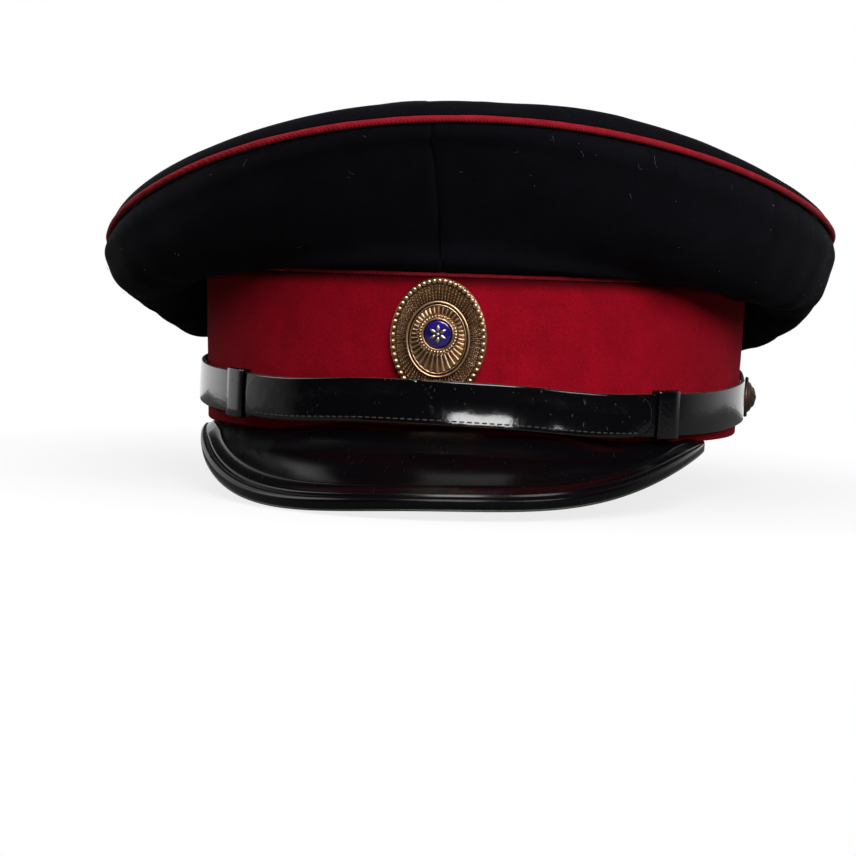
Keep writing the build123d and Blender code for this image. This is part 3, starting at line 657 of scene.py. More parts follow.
def wall_controls(angle):
    """Control points of the wall's profile: distance out, and height."""
    back_share = (1 - cos(angle)) / 2
    turn = min(abs(angle), 2 * pi - abs(angle))
    droop = 0.9 * back_share
    droop += 0.28 * smooth((back_share - 0.5) / 0.25)
    droop -= 0.53 * smooth((back_share - 0.8) / 0.2)
    slack = smooth(turn / radians(70))
    start = band_point(angle, 0, WALL_SEAM_HEIGHT)
    rim = rim_point(angle)
    reach = hypot(rim.x - start.x, rim.y - start.y)
    rim_z = rim.z - PIPING_RADIUS + 0.25
    rim_out = reach - 0.2
    lowest = WALL_SEAM_HEIGHT - WALL_DROOP * min(1.0, droop)
    lowest += WALL_SIDE_TILT * sin(angle) * slack
    pull = (lowest - (WALL_SEAM_HEIGHT + rim_z) / 8) / 0.75
    seam_out = mix(0.2, 1.0, slack)
    rise = rim_z - WALL_SEAM_HEIGHT
    near = (
        mix(seam_out + rim_out / 3, seam_out + 0.12 * rim_out + 1, slack),
        mix(WALL_SEAM_HEIGHT + rise / 3, pull, slack),
    )
    far = (
        mix(seam_out + 2 * rim_out / 3 + WALL_FRONT_BOW, rim_out + WALL_BULGE, slack),
        mix(WALL_SEAM_HEIGHT + 2 * rise / 3, pull, slack),
    )
    return [(seam_out, WALL_SEAM_HEIGHT), near, far, (rim_out, rim_z)], slack


def profile(controls, share):
    """Point of a cubic curve, and its unit normal on the left of its travel."""
    rest = 1 - share
    weights = (rest**3, 3 * share * rest**2, 3 * share**2 * rest, share**3)
    out = sum(weight * control[0] for weight, control in zip(weights, controls))
    height = sum(weight * control[1] for weight, control in zip(weights, controls))
    run = rise = 0.0
    for slope, before, after in zip((rest**2, 2 * share * rest, share**2), controls, controls[1:]):
        run += slope * (after[0] - before[0])
        rise += slope * (after[1] - before[1])
    length = hypot(run, rise)
    return (out, height), (-rise / length, run / length)


def upright(angle, out, height):
    """Point in the upright plane from the band to the rim."""
    start = band_point(angle, 0, WALL_SEAM_HEIGHT)
    away = rim_point(angle) - start
    away.z = 0
    away.normalize()
    return Vector((start.x, start.y, height)) + away * out


def wall_wave(angle, share, slack, flat_point):
    """How far the wall's cloth stands out from its smooth shape."""
    middle = sin(pi * share) ** 0.6
    wave = lumps(flat_point, 42, 3) * (0.35 + 1.1 * slack) * middle
    folds = noise.noise(Vector((angle * 9.0, share * 1.4, 3.7)))
    wave += folds * 1.3 * slack * middle
    pull = noise.noise(Vector((angle * 30.0, 8.0, 1.0)))
    wave += pull * 0.5 * bell(share, 0.16) * (0.3 + slack)
    wave += noise.noise(Vector((angle * 44.0, 2.0, 5.0))) * 0.35 * bell(1 - share, 0.1)
    return wave


def wall_brow(share, slack):
    """How far the front of the wall stands out just above the band."""
    return 2.4 * bell(share - 0.09, 0.075) * (1 - 0.7 * slack)


def wall_fold(share):
    """How far the wall stands out in the fold under the rim."""
    return 0.9 * bell(share - 0.93, 0.05)


def wall_panel(name, first, last, columns=110, rows=60):
    """One panel of the crown's wall, with its edges turned in at the seams."""
    loops = []
    for column in range(columns + 1):
        across = column / columns
        angle = radians(mix(first, last, across))
        controls, slack = wall_controls(angle)
        width = radians(abs(last - first)) * RIM_HALF_LENGTH
        to_seam = min(across, 1 - across) * width
        turned = 0.5 * bell(to_seam, 1.1)
        outer = []
        inner = []
        for row in range(rows + 1):
            share = row / rows
            point, normal = profile(controls, share)
            flat_point = upright(angle, *point)
            wave = wall_wave(angle, share, slack, flat_point) * smooth(to_seam / 6)
            tuck = 0.9 * bell(1 - share, 0.014) - wall_fold(share)
            move = turned + tuck - wave - wall_brow(share, slack)
            outer.append(upright(angle, point[0] + normal[0] * move, point[1] + normal[1] * move))
            deep = move + CROWN_CLOTH
            inner.append(upright(angle, point[0] + normal[0] * deep, point[1] + normal[1] * deep))
        loops.append(outer + inner[::-1])
    return loft(name, loops)


def top_lift(angle):
    """Height of the roll round the crown's top: fullest a little right of the front."""
    degrees_on = (angle * 180 / pi + 180) % 360 - 180
    lift = CROWN_ROLL_HEIGHT + 1.1 * bell(degrees_on - 23, 8)
    return lift - 1.7 * smooth((degrees_on - 30) / 45) + 0.3 * sin(3 * angle + 1)


def crown_top_surface(angle, share, depth):
    """Point of the crown's top: a roll over the hoop, then a slack sheet to the middle."""
    lift = top_lift(angle)
    if share < ROLL_PART:
        turn = pi / 2 * share / ROLL_PART
        inset = TOP_INSET + depth + (CROWN_ROLL_WIDTH - depth) * (1 - cos(turn))
        high = CROWN_TOP_LIFT + (lift - CROWN_TOP_LIFT - depth) * sin(turn)
        dip = 0.0
    else:
        along = (share - ROLL_PART) / (1 - ROLL_PART)
        inset = TOP_INSET + CROWN_ROLL_WIDTH
        inset += (RIM_HALF_LENGTH - CROWN_ROLL_WIDTH - TOP_INSET) * along
        high = mix(lift, CROWN_ROLL_HEIGHT, smooth(along * 1.4)) - depth
        dip = 1.0
    ratio = inset / RIM_HALF_LENGTH
    rest = 1 - ratio
    x = RIM_CENTRE_X + RIM_HALF_WIDTH * rest * sin(angle)
    y = RIM_CENTRE_Y - RIM_HALF_LENGTH * rest * cos(angle)
    z = rim_height(rest * sin(angle), rest * cos(angle)) + high
    z += CROWN_DOME * (1 - rest * rest)
    point = Vector((x, y, z))
    ripple = noise.noise(Vector((angle * 7.0, ratio * 6.0, 2.0))) * bell(ratio, 0.25)
    wave = lumps(Vector((x, y, 0)), 55, 3) * 0.9 * min(1.0, share * 3) + ripple * 0.9 * dip
    point.z += wave
    return point


def crown_top(columns=300, rows=64):
    """The crown's top as a thin closed shell."""
    loops = []
    flat_rows = rows - ROLL_ROWS
    shares = [ROLL_PART * index / ROLL_ROWS for index in range(ROLL_ROWS)]
    shares += [ROLL_PART + 0.78 * (index / flat_rows) for index in range(flat_rows + 1)]
    for angle in turns(columns):
        outer = [crown_top_surface(angle, share, 0.0) for share in shares]
        inner = [crown_top_surface(angle, share, CROWN_CLOTH) for share in shares]
        loops.append(outer + inner[::-1])
    return loft("crown_top_cloth", loops, ring=True)


def ring_of(name, section, count=420):
    """Closed ring round the band: section(angle) gives (inset, z) points."""
    loops = []
    for angle in turns(count):
        loops.append([band_point(angle, inset, z) for inset, z in section(angle)])
    return loft(name, loops, ring=True)


def band_section(angle):
    """Band cloth: folded round at its foot, a seam at the back, a little uneven."""
    seam = 0.7 * bell((abs(angle - pi)) * BAND_HALF_LENGTH, 0.9)
    fold = 0.9
    bends = [pi / 2 * index / 6 for index in range(7)]
    foot = [(fold - fold * sin(bend), fold - fold * cos(bend)) for bend in bends]
    rise = [(0.0, mix(fold, BAND_HEIGHT - 0.5, index / 26)) for index in range(1, 27)]
    top = [(0.15, BAND_HEIGHT - 0.15), (0.5, BAND_HEIGHT)]
    outer = []
    for inset, z in foot + rise + top:
        at = Vector((sin(angle) * BAND_HALF_WIDTH, -cos(angle) * BAND_HALF_LENGTH, z))
        wave = 0.0
        if 0 < z < BAND_HEIGHT:
            wave = lumps(at, 30, 3) * 0.22 * sin(pi * z / BAND_HEIGHT) ** 0.5
        outer.append((inset + seam - wave, z))
    inner = [(BAND_CLOTH, BAND_HEIGHT), (BAND_CLOTH, BAND_HEIGHT / 2), (BAND_CLOTH, 0.0)]
    return outer + inner


# ---------------------------------------------------------------- crown and band pieces
def make_crown():
    """Four wall panels, the top and the piping."""
    panels = (
        ("crown_wall_front_right", 0, 90, "crown_front_right_panel"),
        ("crown_wall_back_right", 90, 180, "crown_back_right_panel"),
        ("crown_wall_back_left", 180, 270, "crown_back_left_panel"),
        ("crown_wall_front_left", 270, 360, "crown_front_left_panel"),
    )
    for name, first, last, node in panels:
        place_piece(wall_panel(name, first, last), "cap", "navy_wool", NAVY, node)
    place_piece(crown_top(), "cap", "navy_wool", NAVY, "crown_top")

    def wobble(index):
        return PIPING_SEEN_RADIUS * (1 + 0.08 * noise.noise(Vector((index * 0.11, 0, 9))))

    path = [rim_point(angle) for angle in turns(PIPING_STEPS)]
    piping = tube("crown_edge_piping", path, wobble, 14, ring=True)
    place_piece(piping, "cap", "red_piping", PIPING, "crown_piping")


def make_lint():
    """Short fibres and specks that lie on the wool, in a fixed order."""
    groups = []
    for index in range(LINT_COUNT):
        draw = []
        for step in range(5):
            draw.append(noise.noise(Vector((index * 7.13 + step * 3.7, 11.0 + step, 0.5))))
        angle = radians(80) * max(-1.0, min(1.0, draw[0] * 2.6))
        share = min(0.95, max(0.3, 0.68 + draw[1] * 0.9))
        slack = wall_controls(angle)[1]
        heading = draw[2] * 9
        length = 0.6 + 5.0 * abs(draw[3]) if index % 2 else 0.22
        path = []
        for step in range(6):
            along = (step / 5 - 0.5) * length
            bend = 0.25 * length * sin(3 * step / 5 + draw[4] * 6)
            turn = angle + (along * cos(heading) - bend * sin(heading)) / RIM_HALF_LENGTH
            part = share + (along * sin(heading) + bend * cos(heading)) / 60
            point, normal = profile(wall_controls(turn)[0], part)
            wave = wall_wave(turn, part, slack, upright(turn, *point))
            wave += wall_brow(part, slack) + wall_fold(part)
            out = -wave - 0.12
            path.append(upright(turn, point[0] + normal[0] * out, point[1] + normal[1] * out))
        size = 0.03 if index % 2 else 0.11
        loops = []
        for step, point in enumerate(path):
            ahead = (path[min(5, step + 1)] - path[max(0, step - 1)]).normalized()
            across = ahead.cross(Vector((0.1, 0.2, 1))).normalized()
            high = across.cross(ahead)
            thin = size * (0.35 if step in (0, 5) else 1.0)
            loops.append(circle(point, across, high, thin, thin, 5))
        groups.append(loops)
    place_piece(join_lofts("crown_lint", groups), "cap", "navy_wool", LINT)


def make_band():
    """Red cloth and the welt on its top edge."""
    place_piece(ring_of("band_cloth_melton", band_section), "cap", "red_wool", RED, "band_cloth")
    height = BAND_HEIGHT + WELT_RADIUS - 0.1
    path = [band_point(angle, WELT_INSET, height) for angle in turns(WELT_STEPS)]
    welt = tube("band_edge_welt", path, WELT_SEEN_RADIUS, 10, ring=True)
    place_piece(welt, "cap", "red_piping", PIPING, "band_welt")


def make_inside():
    """Sweatband and its row of stitches."""
    def sweat_section(angle):
        wave = 0.25 * noise.noise(Vector((sin(angle) * 5, cos(angle) * 5, 3)))
        low = SWEATBAND_INSET + 0.3 + wave
        top = SWEATBAND_TOP
        face = [(low, mix(1.0, top - 0.6, index / 10)) for index in range(11)]
        lip = [(low + 0.25, top - 0.1), (low + 0.5, top), (low + 0.8, top - 0.1)]
        back = [(low + SWEATBAND_THICKNESS, mix(top - 0.6, 1.0, index / 10)) for index in range(11)]
        foot = [(low + 0.75, 0.6), (low + 0.5, 0.5), (low + 0.2, 0.6)]
        return face + lip + back + foot

    leather_ring = ring_of("sweatband_leather", sweat_section, 360)
    place_piece(leather_ring, "cap", "sweat_leather", SWEAT, "sweatband")
    groups = []
    inset = SWEATBAND_INSET + 1.32 + SWEATBAND_THICKNESS
    for angle in turns(SWEATBAND_STITCHES):
        point = band_point(angle, inset, SWEATBAND_STITCH_HEIGHT)
        ahead = band_point(angle + 0.001, inset, SWEATBAND_STITCH_HEIGHT)
        along = (ahead - point).normalized()
        inward = Vector((-point.x, -point.y, 0)).normalized()
        groups.append(capsule_points(point, along, inward, Vector((0, 0, 1)), 0.95, 0.16, 0.2))
    place_piece(join_lofts("sweatband_stitches", groups), "cap", "black_thread", PALE_THREAD)


# ---------------------------------------------------------------- visor
def visor_edge(angle):
    """Outer edge of the visor's underside at an angle from the front."""
    across = sin(angle)
    x = VISOR_CENTRE_X + VISOR_HALF_WIDTH * across
    y = VISOR_CENTRE_Y + (VISOR_FRONT_Y - VISOR_CENTRE_Y) * cos(angle)
    z = VISOR_FRONT_HEIGHT - VISOR_SIDE_DROOP * across**2 + VISOR_CORNER_RISE * across**4
    z += VISOR_SIDE_TILT * across * (1 - across**8)
    return Vector((x, y, z))


def visor_place(across, share, below):
    """Point of the visor. across runs -1 to 1 from corner to corner, share from band to edge."""
    root = band_point(radians(VISOR_ROOT_SPAN) * across, VISOR_ROOT_INSET, 0)
    root.z = VISOR_ROOT_HEIGHT
    edge = visor_edge(radians(VISOR_EDGE_SPAN) * across)
    level = Vector((edge.x - root.x, edge.y - root.y, 0))
    length = level.length
    away = level / length
    fall = root.z - edge.z
    lean = fall / hypot(length, fall) * below
    sag = fall * (0.62 * share + 0.38 * share * share)
    point = root + away * (share * length - lean * share)
    point.z = root.z - sag - below
    return point, length


def visor_relief(from_edge):
    """Height of the moulded rim at a distance from the visor's edge."""
    height = 0.72 * smooth((10.2 - from_edge) / 1.3) * smooth((from_edge - 3.2) / 0.7)
    height += 0.3 * bell(from_edge - 9.1, 0.65)
    height -= 0.12 * bell(from_edge - 6.2, 1.8)
    height += 0.95 * sqrt(max(0.0, 1 - ((from_edge - 1.25) / 1.45) ** 2))
    height -= 0.25 * bell(from_edge - 3.1, 0.3)
    return height


def visor_skin(name, depth, thickness, rim, columns=360):
    """Layer of the visor with rounded edges. rim adds the moulded ridges."""
    from_edge = [0.0, 0.15, 0.35, 0.6, 0.9, 1.25, 1.6, 1.9, 2.2, 2.45, 2.65, 2.8, 2.95, 3.1, 3.25]
    from_edge += [3.4, 3.6, 3.8, 4.2, 5.0, 6.0, 7.0, 7.8, 8.3, 8.6, 8.9, 9.2, 9.5, 9.8, 10.1, 10.4]
    from_edge += [10.8, 11.5, 13.0, 15.0]
    loops = []
    for column in range(columns + 1):
        across = 2 * column / columns - 1
        length = visor_place(across, 1.0, 0.0)[1]
        fit = min(1.0, length / 19)
        rise = min(1.0, length / 25) if rim else 0.0
        distances = [value * fit for value in from_edge]
        rest = length - distances[-1]
        inner = [distances[-1] + rest * (1 - (1 - index / 44) ** 1.25) for index in range(1, 45)]
        loop = []
        for distance in reversed(distances + inner):
            share = 1 - distance / length
            high = rise * visor_relief(distance / fit)
            if rim:
                from_root = length - distance
                reach = min(11.5, length - 4.5)
                shoulder = smooth((from_root - 3.3) / 0.8)
                shoulder *= smooth((3.5 + reach - from_root) / reach)
                tall = 2.0 + 3.9 * smooth((0.6 - abs(across)) / 0.35)
                high += tall * shoulder * smooth((length - 5) / 7)
            wave = 0.0
            if rim and distance > 11 * fit:
                flat = visor_place(across, share, 0.0)[0]
                wave = 0.18 * lumps(Vector((flat.x, flat.y, 0)), 24, 2)
                wave *= smooth((distance / fit - 11) / 8)
                wave *= smooth(rest / 20)
            loop.append(visor_place(across, share, depth - high + wave)[0])
        for turn in (0.25, 0.5, 0.75):
            share = 1.0 + 0.25 * sin(pi * turn) / length
            loop.append(visor_place(across, share, depth + thickness * turn)[0])
        for index in range(17):
            loop.append(visor_place(across, 1 - index / 16, depth + thickness)[0])
        loops.append(loop)
    return loft(name, loops)


def make_visor():
    """Lacquered shell with its moulded rim, and the lining below."""
    shell = visor_skin("visor_lacquered_shell", 0.0, VISOR_THICKNESS, True)
    place_piece(shell, "cap", "black_lacquer", VISOR_BLACK, "visor_shell")
    depth = VISOR_THICKNESS + VISOR_UNDERLAY_GAP
    lining = visor_skin("visor_green_underlay", depth, VISOR_UNDERLAY, False, 200)
    place_piece(lining, "cap", "visor_lining", UNDERLAY, "visor_underlay")


# ---------------------------------------------------------------- chin strap
STRAP_TURN = (
    Matrix.Translation((0, BUTTON_Y, BUTTON_Z))
    @ Matrix.Rotation(STRAP_TILT, 4, "Y")
    @ Matrix.Rotation(STRAP_SINK, 4, "X")
    @ Matrix.Translation((0, -BUTTON_Y, -BUTTON_Z))
)


def strap_sag(angle):
    """How far the strap is off its plane: up over the visor in front, down beside it."""
    turn = abs(angle)
    front = 1.1 * (1 - smooth(turn / radians(34)))
    beside = 1.5 * smooth((turn - radians(12)) / radians(26))
    return front - beside * (1 - smooth((turn - radians(60)) / radians(32)))


def strap_point(angle, offset, height):
    """Point of the hung strap. height is measured from the strap's middle line."""
    height += strap_sag(angle)
    x = (STRAP_HALF_WIDTH + offset) * sin(angle)
    y = -(STRAP_HALF_LENGTH + offset) * cos(angle)
    return STRAP_TURN @ Vector((x, y, BUTTON_Z + height))


def strap_lean(angle, part):
    """How far the strap leans out: its lower half is pushed out by the visor in front."""
    return 1.3 * max(0.0, 0.2 - part) ** 1.7 * bell(angle - radians(8), radians(30)) ** 1.5


def strap_section(thickness, rounding=0.35):
    """Loop of (offset, part of the half height) round the strap's section."""
    loop = []
    for part in (-0.93, -0.8, -0.6, -0.4, -0.2, 0.0, 0.2, 0.4, 0.6, 0.8, 0.93):
        loop.append((thickness + 0.12 * (1 - part * part) - 0.06, part))
    loop += [(thickness - rounding * 0.35, 0.975), (thickness - rounding, 1.0)]
    loop += [(rounding, 1.0), (0.0, 0.96)]
    loop += [(0.0, part) for part in (0.5, 0.0, -0.5, -0.96)]
    loop += [(rounding, -1.0), (thickness - rounding, -1.0), (thickness - rounding * 0.35, -0.975)]
    return loop


def cut_face(index):
    """1 for the faces of the section's cut edges, 0 for its finished faces."""
    return 1 if 12 <= index <= 13 or 18 <= index <= 20 else 0


def strap_half_height(y):
    """Half the height of the strap at a distance back from the front."""
    flare = smooth((y - (BUTTON_Y - 16)) / 18)
    return mix(STRAP_HALF_HEIGHT, STRAP_END_HALF_HEIGHT, flare)


def strap_half(name, side, columns=150):
    """One half of the strap, from the front lap to just past its button."""
    loops = []
    section = strap_section(STRAP_THICKNESS)
    for column in range(columns + 1):
        share = column / columns
        loop = []
        for offset, part in section:
            end_y = BUTTON_Y + 6.5 + 2.5 * abs(part) - 2.2 * smooth((abs(part) - 0.85) / 0.15)
            angle = side * (radians(0.05) + (pi / 2 + atan(end_y / STRAP_HALF_LENGTH)) * share)
            y = -STRAP_HALF_LENGTH * cos(angle)
            lean = strap_lean(angle, part)
            loop.append(strap_point(angle, offset + lean, part * strap_half_height(y)))
        loops.append(loop)
    return loft(name, loops, mark=cut_face)


def strap_front(columns=620):
    """Second layer across the front, with round ends."""
    radius = 2 * STRAP_HALF_HEIGHT * 0.42
    flat = STRAP_HALF_HEIGHT - radius
    half_span = STRAP_HALF_WIDTH * sin(radians(STRAP_OVERLAY_SPAN))
    section = strap_section(STRAP_OVERLAY_THICKNESS)
    base = STRAP_THICKNESS + STRAP_OVERLAY_GAP
    loops = []
    for column in range(columns + 1):
        share = 2 * column / columns - 1
        crowd = share * (1.3 - 0.3 * share * share) if abs(share) < 1 else share
        loop = []
        for offset, part in section:
            over = max(0.0, abs(part) * STRAP_HALF_HEIGHT - flat)
            reach = half_span - radius + sqrt(max(0.0, radius**2 - over**2))
            sine = reach / (STRAP_HALF_WIDTH + STRAP_THICKNESS)
            end_angle = atan(sine / sqrt(1 - sine * sine))
            angle = end_angle * crowd
            skive = 0.25 * bell(1 - abs(share), 0.012)
            crease = angle + radians(4.0) - radians(6.0) * (1 - part) * 0.5
            dent = 0.22 * bell(crease, radians(0.35)) * smooth((part + 0.5) / 0.4)
            dent += 0.12 * lumps(Vector((angle * 100, part * 7, 4)), 11, 3) * (1 - part * part)
            level = base + offset * (1 - skive) + strap_lean(angle, part) - dent * (offset > 1)
            loop.append(strap_point(angle, level, part * STRAP_HALF_HEIGHT))
        loops.append(loop)
    return loft("strap_front_layer", loops, mark=cut_face)


def strap_stitches():
    """Row of stitches along the lower edge of the front layer."""
    groups = []
    top = STRAP_THICKNESS + STRAP_OVERLAY_GAP + STRAP_OVERLAY_THICKNESS
    height = STITCH_ROW * STRAP_HALF_HEIGHT
    for index in range(STITCH_COUNT):
        angle = radians(STRAP_OVERLAY_SPAN - 5) * (2 * index / (STITCH_COUNT - 1) - 1)
        angle += 0.0012 * noise.noise(Vector((index * 3.1, STITCH_ROW, 0)))
        level = top + 0.1 + strap_lean(angle, STITCH_ROW)
        point = strap_point(angle, level, height)
        along = (strap_point(angle + 0.001, level, height) - point).normalized()
        out = (strap_point(angle, level + 1, height) - point).normalized()
        groups.append(capsule_points(point, along, out, along.cross(out), 0.85, 0.2, 0.24))
    return join_lofts("strap_stitch_row", groups)


def curvature_centre(angle):
    """Centre of curvature of the strap's ring at an angle."""
    half_width = STRAP_HALF_WIDTH + STRAP_THICKNESS / 2
    half_length = STRAP_HALF_LENGTH + STRAP_THICKNESS / 2
    spread = half_width**2 - half_length**2
    return spread / half_width * sin(angle) ** 3, spread / half_length * cos(angle) ** 3


def keeper(name, side):
    """Sliding loop round the strap, with soft corners."""
    centre_x, centre_y = curvature_centre(KEEPER_ANGLE)
    middle_x = (STRAP_HALF_WIDTH + STRAP_THICKNESS / 2) * sin(KEEPER_ANGLE)
    middle_y = -(STRAP_HALF_LENGTH + STRAP_THICKNESS / 2) * cos(KEEPER_ANGLE)
    radius = hypot(middle_x - centre_x, middle_y - centre_y)
    start = atan((middle_y - centre_y) / (middle_x - centre_x))
    half_thick = STRAP_THICKNESS / 2 + KEEPER_CLEARANCE
    half_high = STRAP_HALF_HEIGHT + KEEPER_CLEARANCE
    path = []
    corners = ((1, 1, 0), (-1, 1, 90), (-1, -1, 180), (1, -1, 270))
    for sign_out, sign_up, turned in corners:
        for index in range(5):
            turn = radians(turned + 90 * index / 4)
            path.append((sign_out * half_thick, sign_up * half_high, cos(turn), sin(turn)))
    full = []
    for index, entry in enumerate(path):
        full.append(entry)
        after = path[(index + 1) % len(path)]
        steps = 8 if abs(after[1] - entry[1]) > 1 else 0
        for step in range(1, steps):
            share = step / steps
            full.append((entry[0], mix(entry[1], after[1], share), entry[2], entry[3]))
    loops = []
    half_wide = KEEPER_WIDTH / 2
    skin = ((0.0, -1.0), (0.0, 0.0), (0.0, 1.0), (0.3, 1.03), (0.62, 1.0), (0.78, 0.95))
    skin += ((0.84, 0.5), (0.86, 0.0), (0.84, -0.5), (0.78, -0.95), (0.62, -1.0), (0.3, -1.03))
    for out, up, push_out, push_up in full:
        loop = []
        for level, across in skin:
            turn = start + across * half_wide / radius
            reach = radius + out + push_out * level
            x = side * (centre_x + reach * cos(turn))
            y = centre_y + reach * sin(turn)
            z = BUTTON_Z + up + push_up * level + strap_sag(KEEPER_ANGLE)
            loop.append(STRAP_TURN @ Vector((x, y, z)))
        loops.append(loop)
    return loft(name, loops, ring=True)


def button_frame(side):
    """Matrix of a side button: z points outward from the strap's outer face."""
    half_width = STRAP_HALF_WIDTH + STRAP_THICKNESS
    half_length = STRAP_HALF_LENGTH + STRAP_THICKNESS
    out = half_width * sqrt(1 - (BUTTON_Y / half_length) ** 2)
    return (
        Matrix.Translation((0, BUTTON_Y, BUTTON_Z))
        @ Matrix.Rotation(STRAP_TILT, 4, "Y")
        @ Matrix.Translation((side * out, 0, 0))
        @ Matrix.Rotation(side * pi / 2, 4, "Y")
    )


def lathe(name, outline, frame_matrix, relief=None, sides=96):
    """Turned shape: outline is (radius, height) points; relief(radius, turn) adds height."""
    loops = []
    for turn in turns(sides):
        loop = []
        for radius, height in outline:
            high = height + (relief(radius, turn) if relief and height > 0.3 else 0.0)
            loop.append(frame_matrix @ Vector((radius * cos(turn), radius * sin(turn), high)))
        loops.append(loop)
    return loft(name, loops, ring=True)


def make_buttons():
    """Stamped caps of the side buttons: roped rim, ring and a small plain flower."""
    dome = BUTTON_DOME_HEIGHT
    sphere = (BUTTON_DOME_RADIUS**2 + dome**2) / (2 * dome)
    outline = [(0.01, 0.2), (3.0, 0.2), (5.0, 0.2), (6.4, 0.0), (6.85, 0.15), (7.0, 0.5)]
    outline += [(6.9, 0.85), (6.6, 1.1), (6.2, 1.15), (5.9, 1.05), (5.7, 1.0)]
    for index in range(24):
        radius = 5.55 * (1 - index / 24)
        outline.append((max(0.01, radius), 1.0 + dome - sphere + sqrt(sphere**2 - radius**2)))
    outline.append((0.01, 1.0 + dome))

    def relief(radius, turn):
        rope = 0.12 * max(0.0, sin(48 * turn)) * bell(radius - 6.5, 0.35)
        petal = abs(cos(3 * turn)) ** 0.6
        flower = 0.35 * smooth((3.6 * petal - radius) / 0.4) * smooth(radius / 0.5)
        ring = 0.22 * bell(radius - 4.7, 0.22)
        return rope + flower + ring + 0.3 * bell(radius, 0.6)

    for side, word in ((-1, "left"), (1, "right")):
        place = button_frame(side) @ Matrix.Translation((0, 0, BUTTON_STANDOFF))
        piece = lathe("button_" + word + "_stamped_cap", outline, place, relief, 192)
        place_piece(piece, "cap", "brass", BRONZE, "button_" + word + "_cap")


def make_strap():
    """Chin strap in three layers, its stitches and both keepers."""
    for side, word in ((-1, "left"), (1, "right")):
        piece = strap_half("strap_" + word + "_leather", side)
        place_piece(piece, "chin_strap", "patent_leather", (PATENT, CUT_EDGE), "strap_" + word)
        loop = keeper("keeper_" + word + "_loop", side)
        place_piece(loop, "keeper_" + word, "patent_leather", PATENT, "keeper_" + word)
    place_piece(strap_front(), "chin_strap", "patent_leather", (PATENT, CUT_EDGE), "strap_front")
    place_piece(strap_stitches(), "chin_strap", "black_thread", BLACK_THREAD, "strap_stitching")


# ---------------------------------------------------------------- cockade
COCKADE_LEAN = atan(BAND_FLARE / BAND_HEIGHT)
COCKADE_FACE = BAND_HALF_LENGTH + BAND_FLARE * COCKADE_Z / BAND_HEIGHT + COCKADE_GAP


def cockade_point(x, y, z):
    """Point of the cockade: x across, y up, z out of the band."""
    lean_y = -cos(COCKADE_LEAN) * z - sin(COCKADE_LEAN) * y
    lean_z = -sin(COCKADE_LEAN) * z + cos(COCKADE_LEAN) * y
    return Vector((COCKADE_X + x, -COCKADE_FACE + lean_y, COCKADE_Z + lean_z))


def oval_plate(name, rings, sides, height, low):
    """Oval plate over (half width, half height) rings, closed below.

    height(share, turn, x, y) gives its face: share runs from the first ring to the last.
    """
    loops = []
    for turn in turns(sides):
        loop = []
        for number, (wide, tall) in enumerate(rings):
            x, y = wide * sin(turn), tall * cos(turn)
            loop.append(cockade_point(x, y, height(number / (len(rings) - 1), turn, x, y)))
        for wide, tall in (rings[-1], rings[len(rings) // 2], rings[0]):
            loop.append(cockade_point(wide * sin(turn), tall * cos(turn), low))
        loops.append(loop)
    return loft(name, loops, ring=True)


def ring_pairs(outer, inner, count):
    """Pairs of half sizes from outer to inner."""
    pairs = []
    for index in range(count + 1):
        share = index / count
        pairs.append((mix(outer[0], inner[0], share), mix(outer[1], inner[1], share)))
    return pairs


def ball(centre, radius, rows=7, sides=12):
    """Loops of a small ball in the cockade's frame."""
    loops = []
    for row in range(1, rows):
        polar = pi * row / rows
        loop = []
        flat = radius * sin(polar)
        for turn in turns(sides):
            loop.append(
                cockade_point(
                    centre[0] + flat * cos(turn),
                    centre[1] + flat * sin(turn),
                    centre[2] + radius * cos(polar),
                )
            )
        loops.append(loop)
    return loops


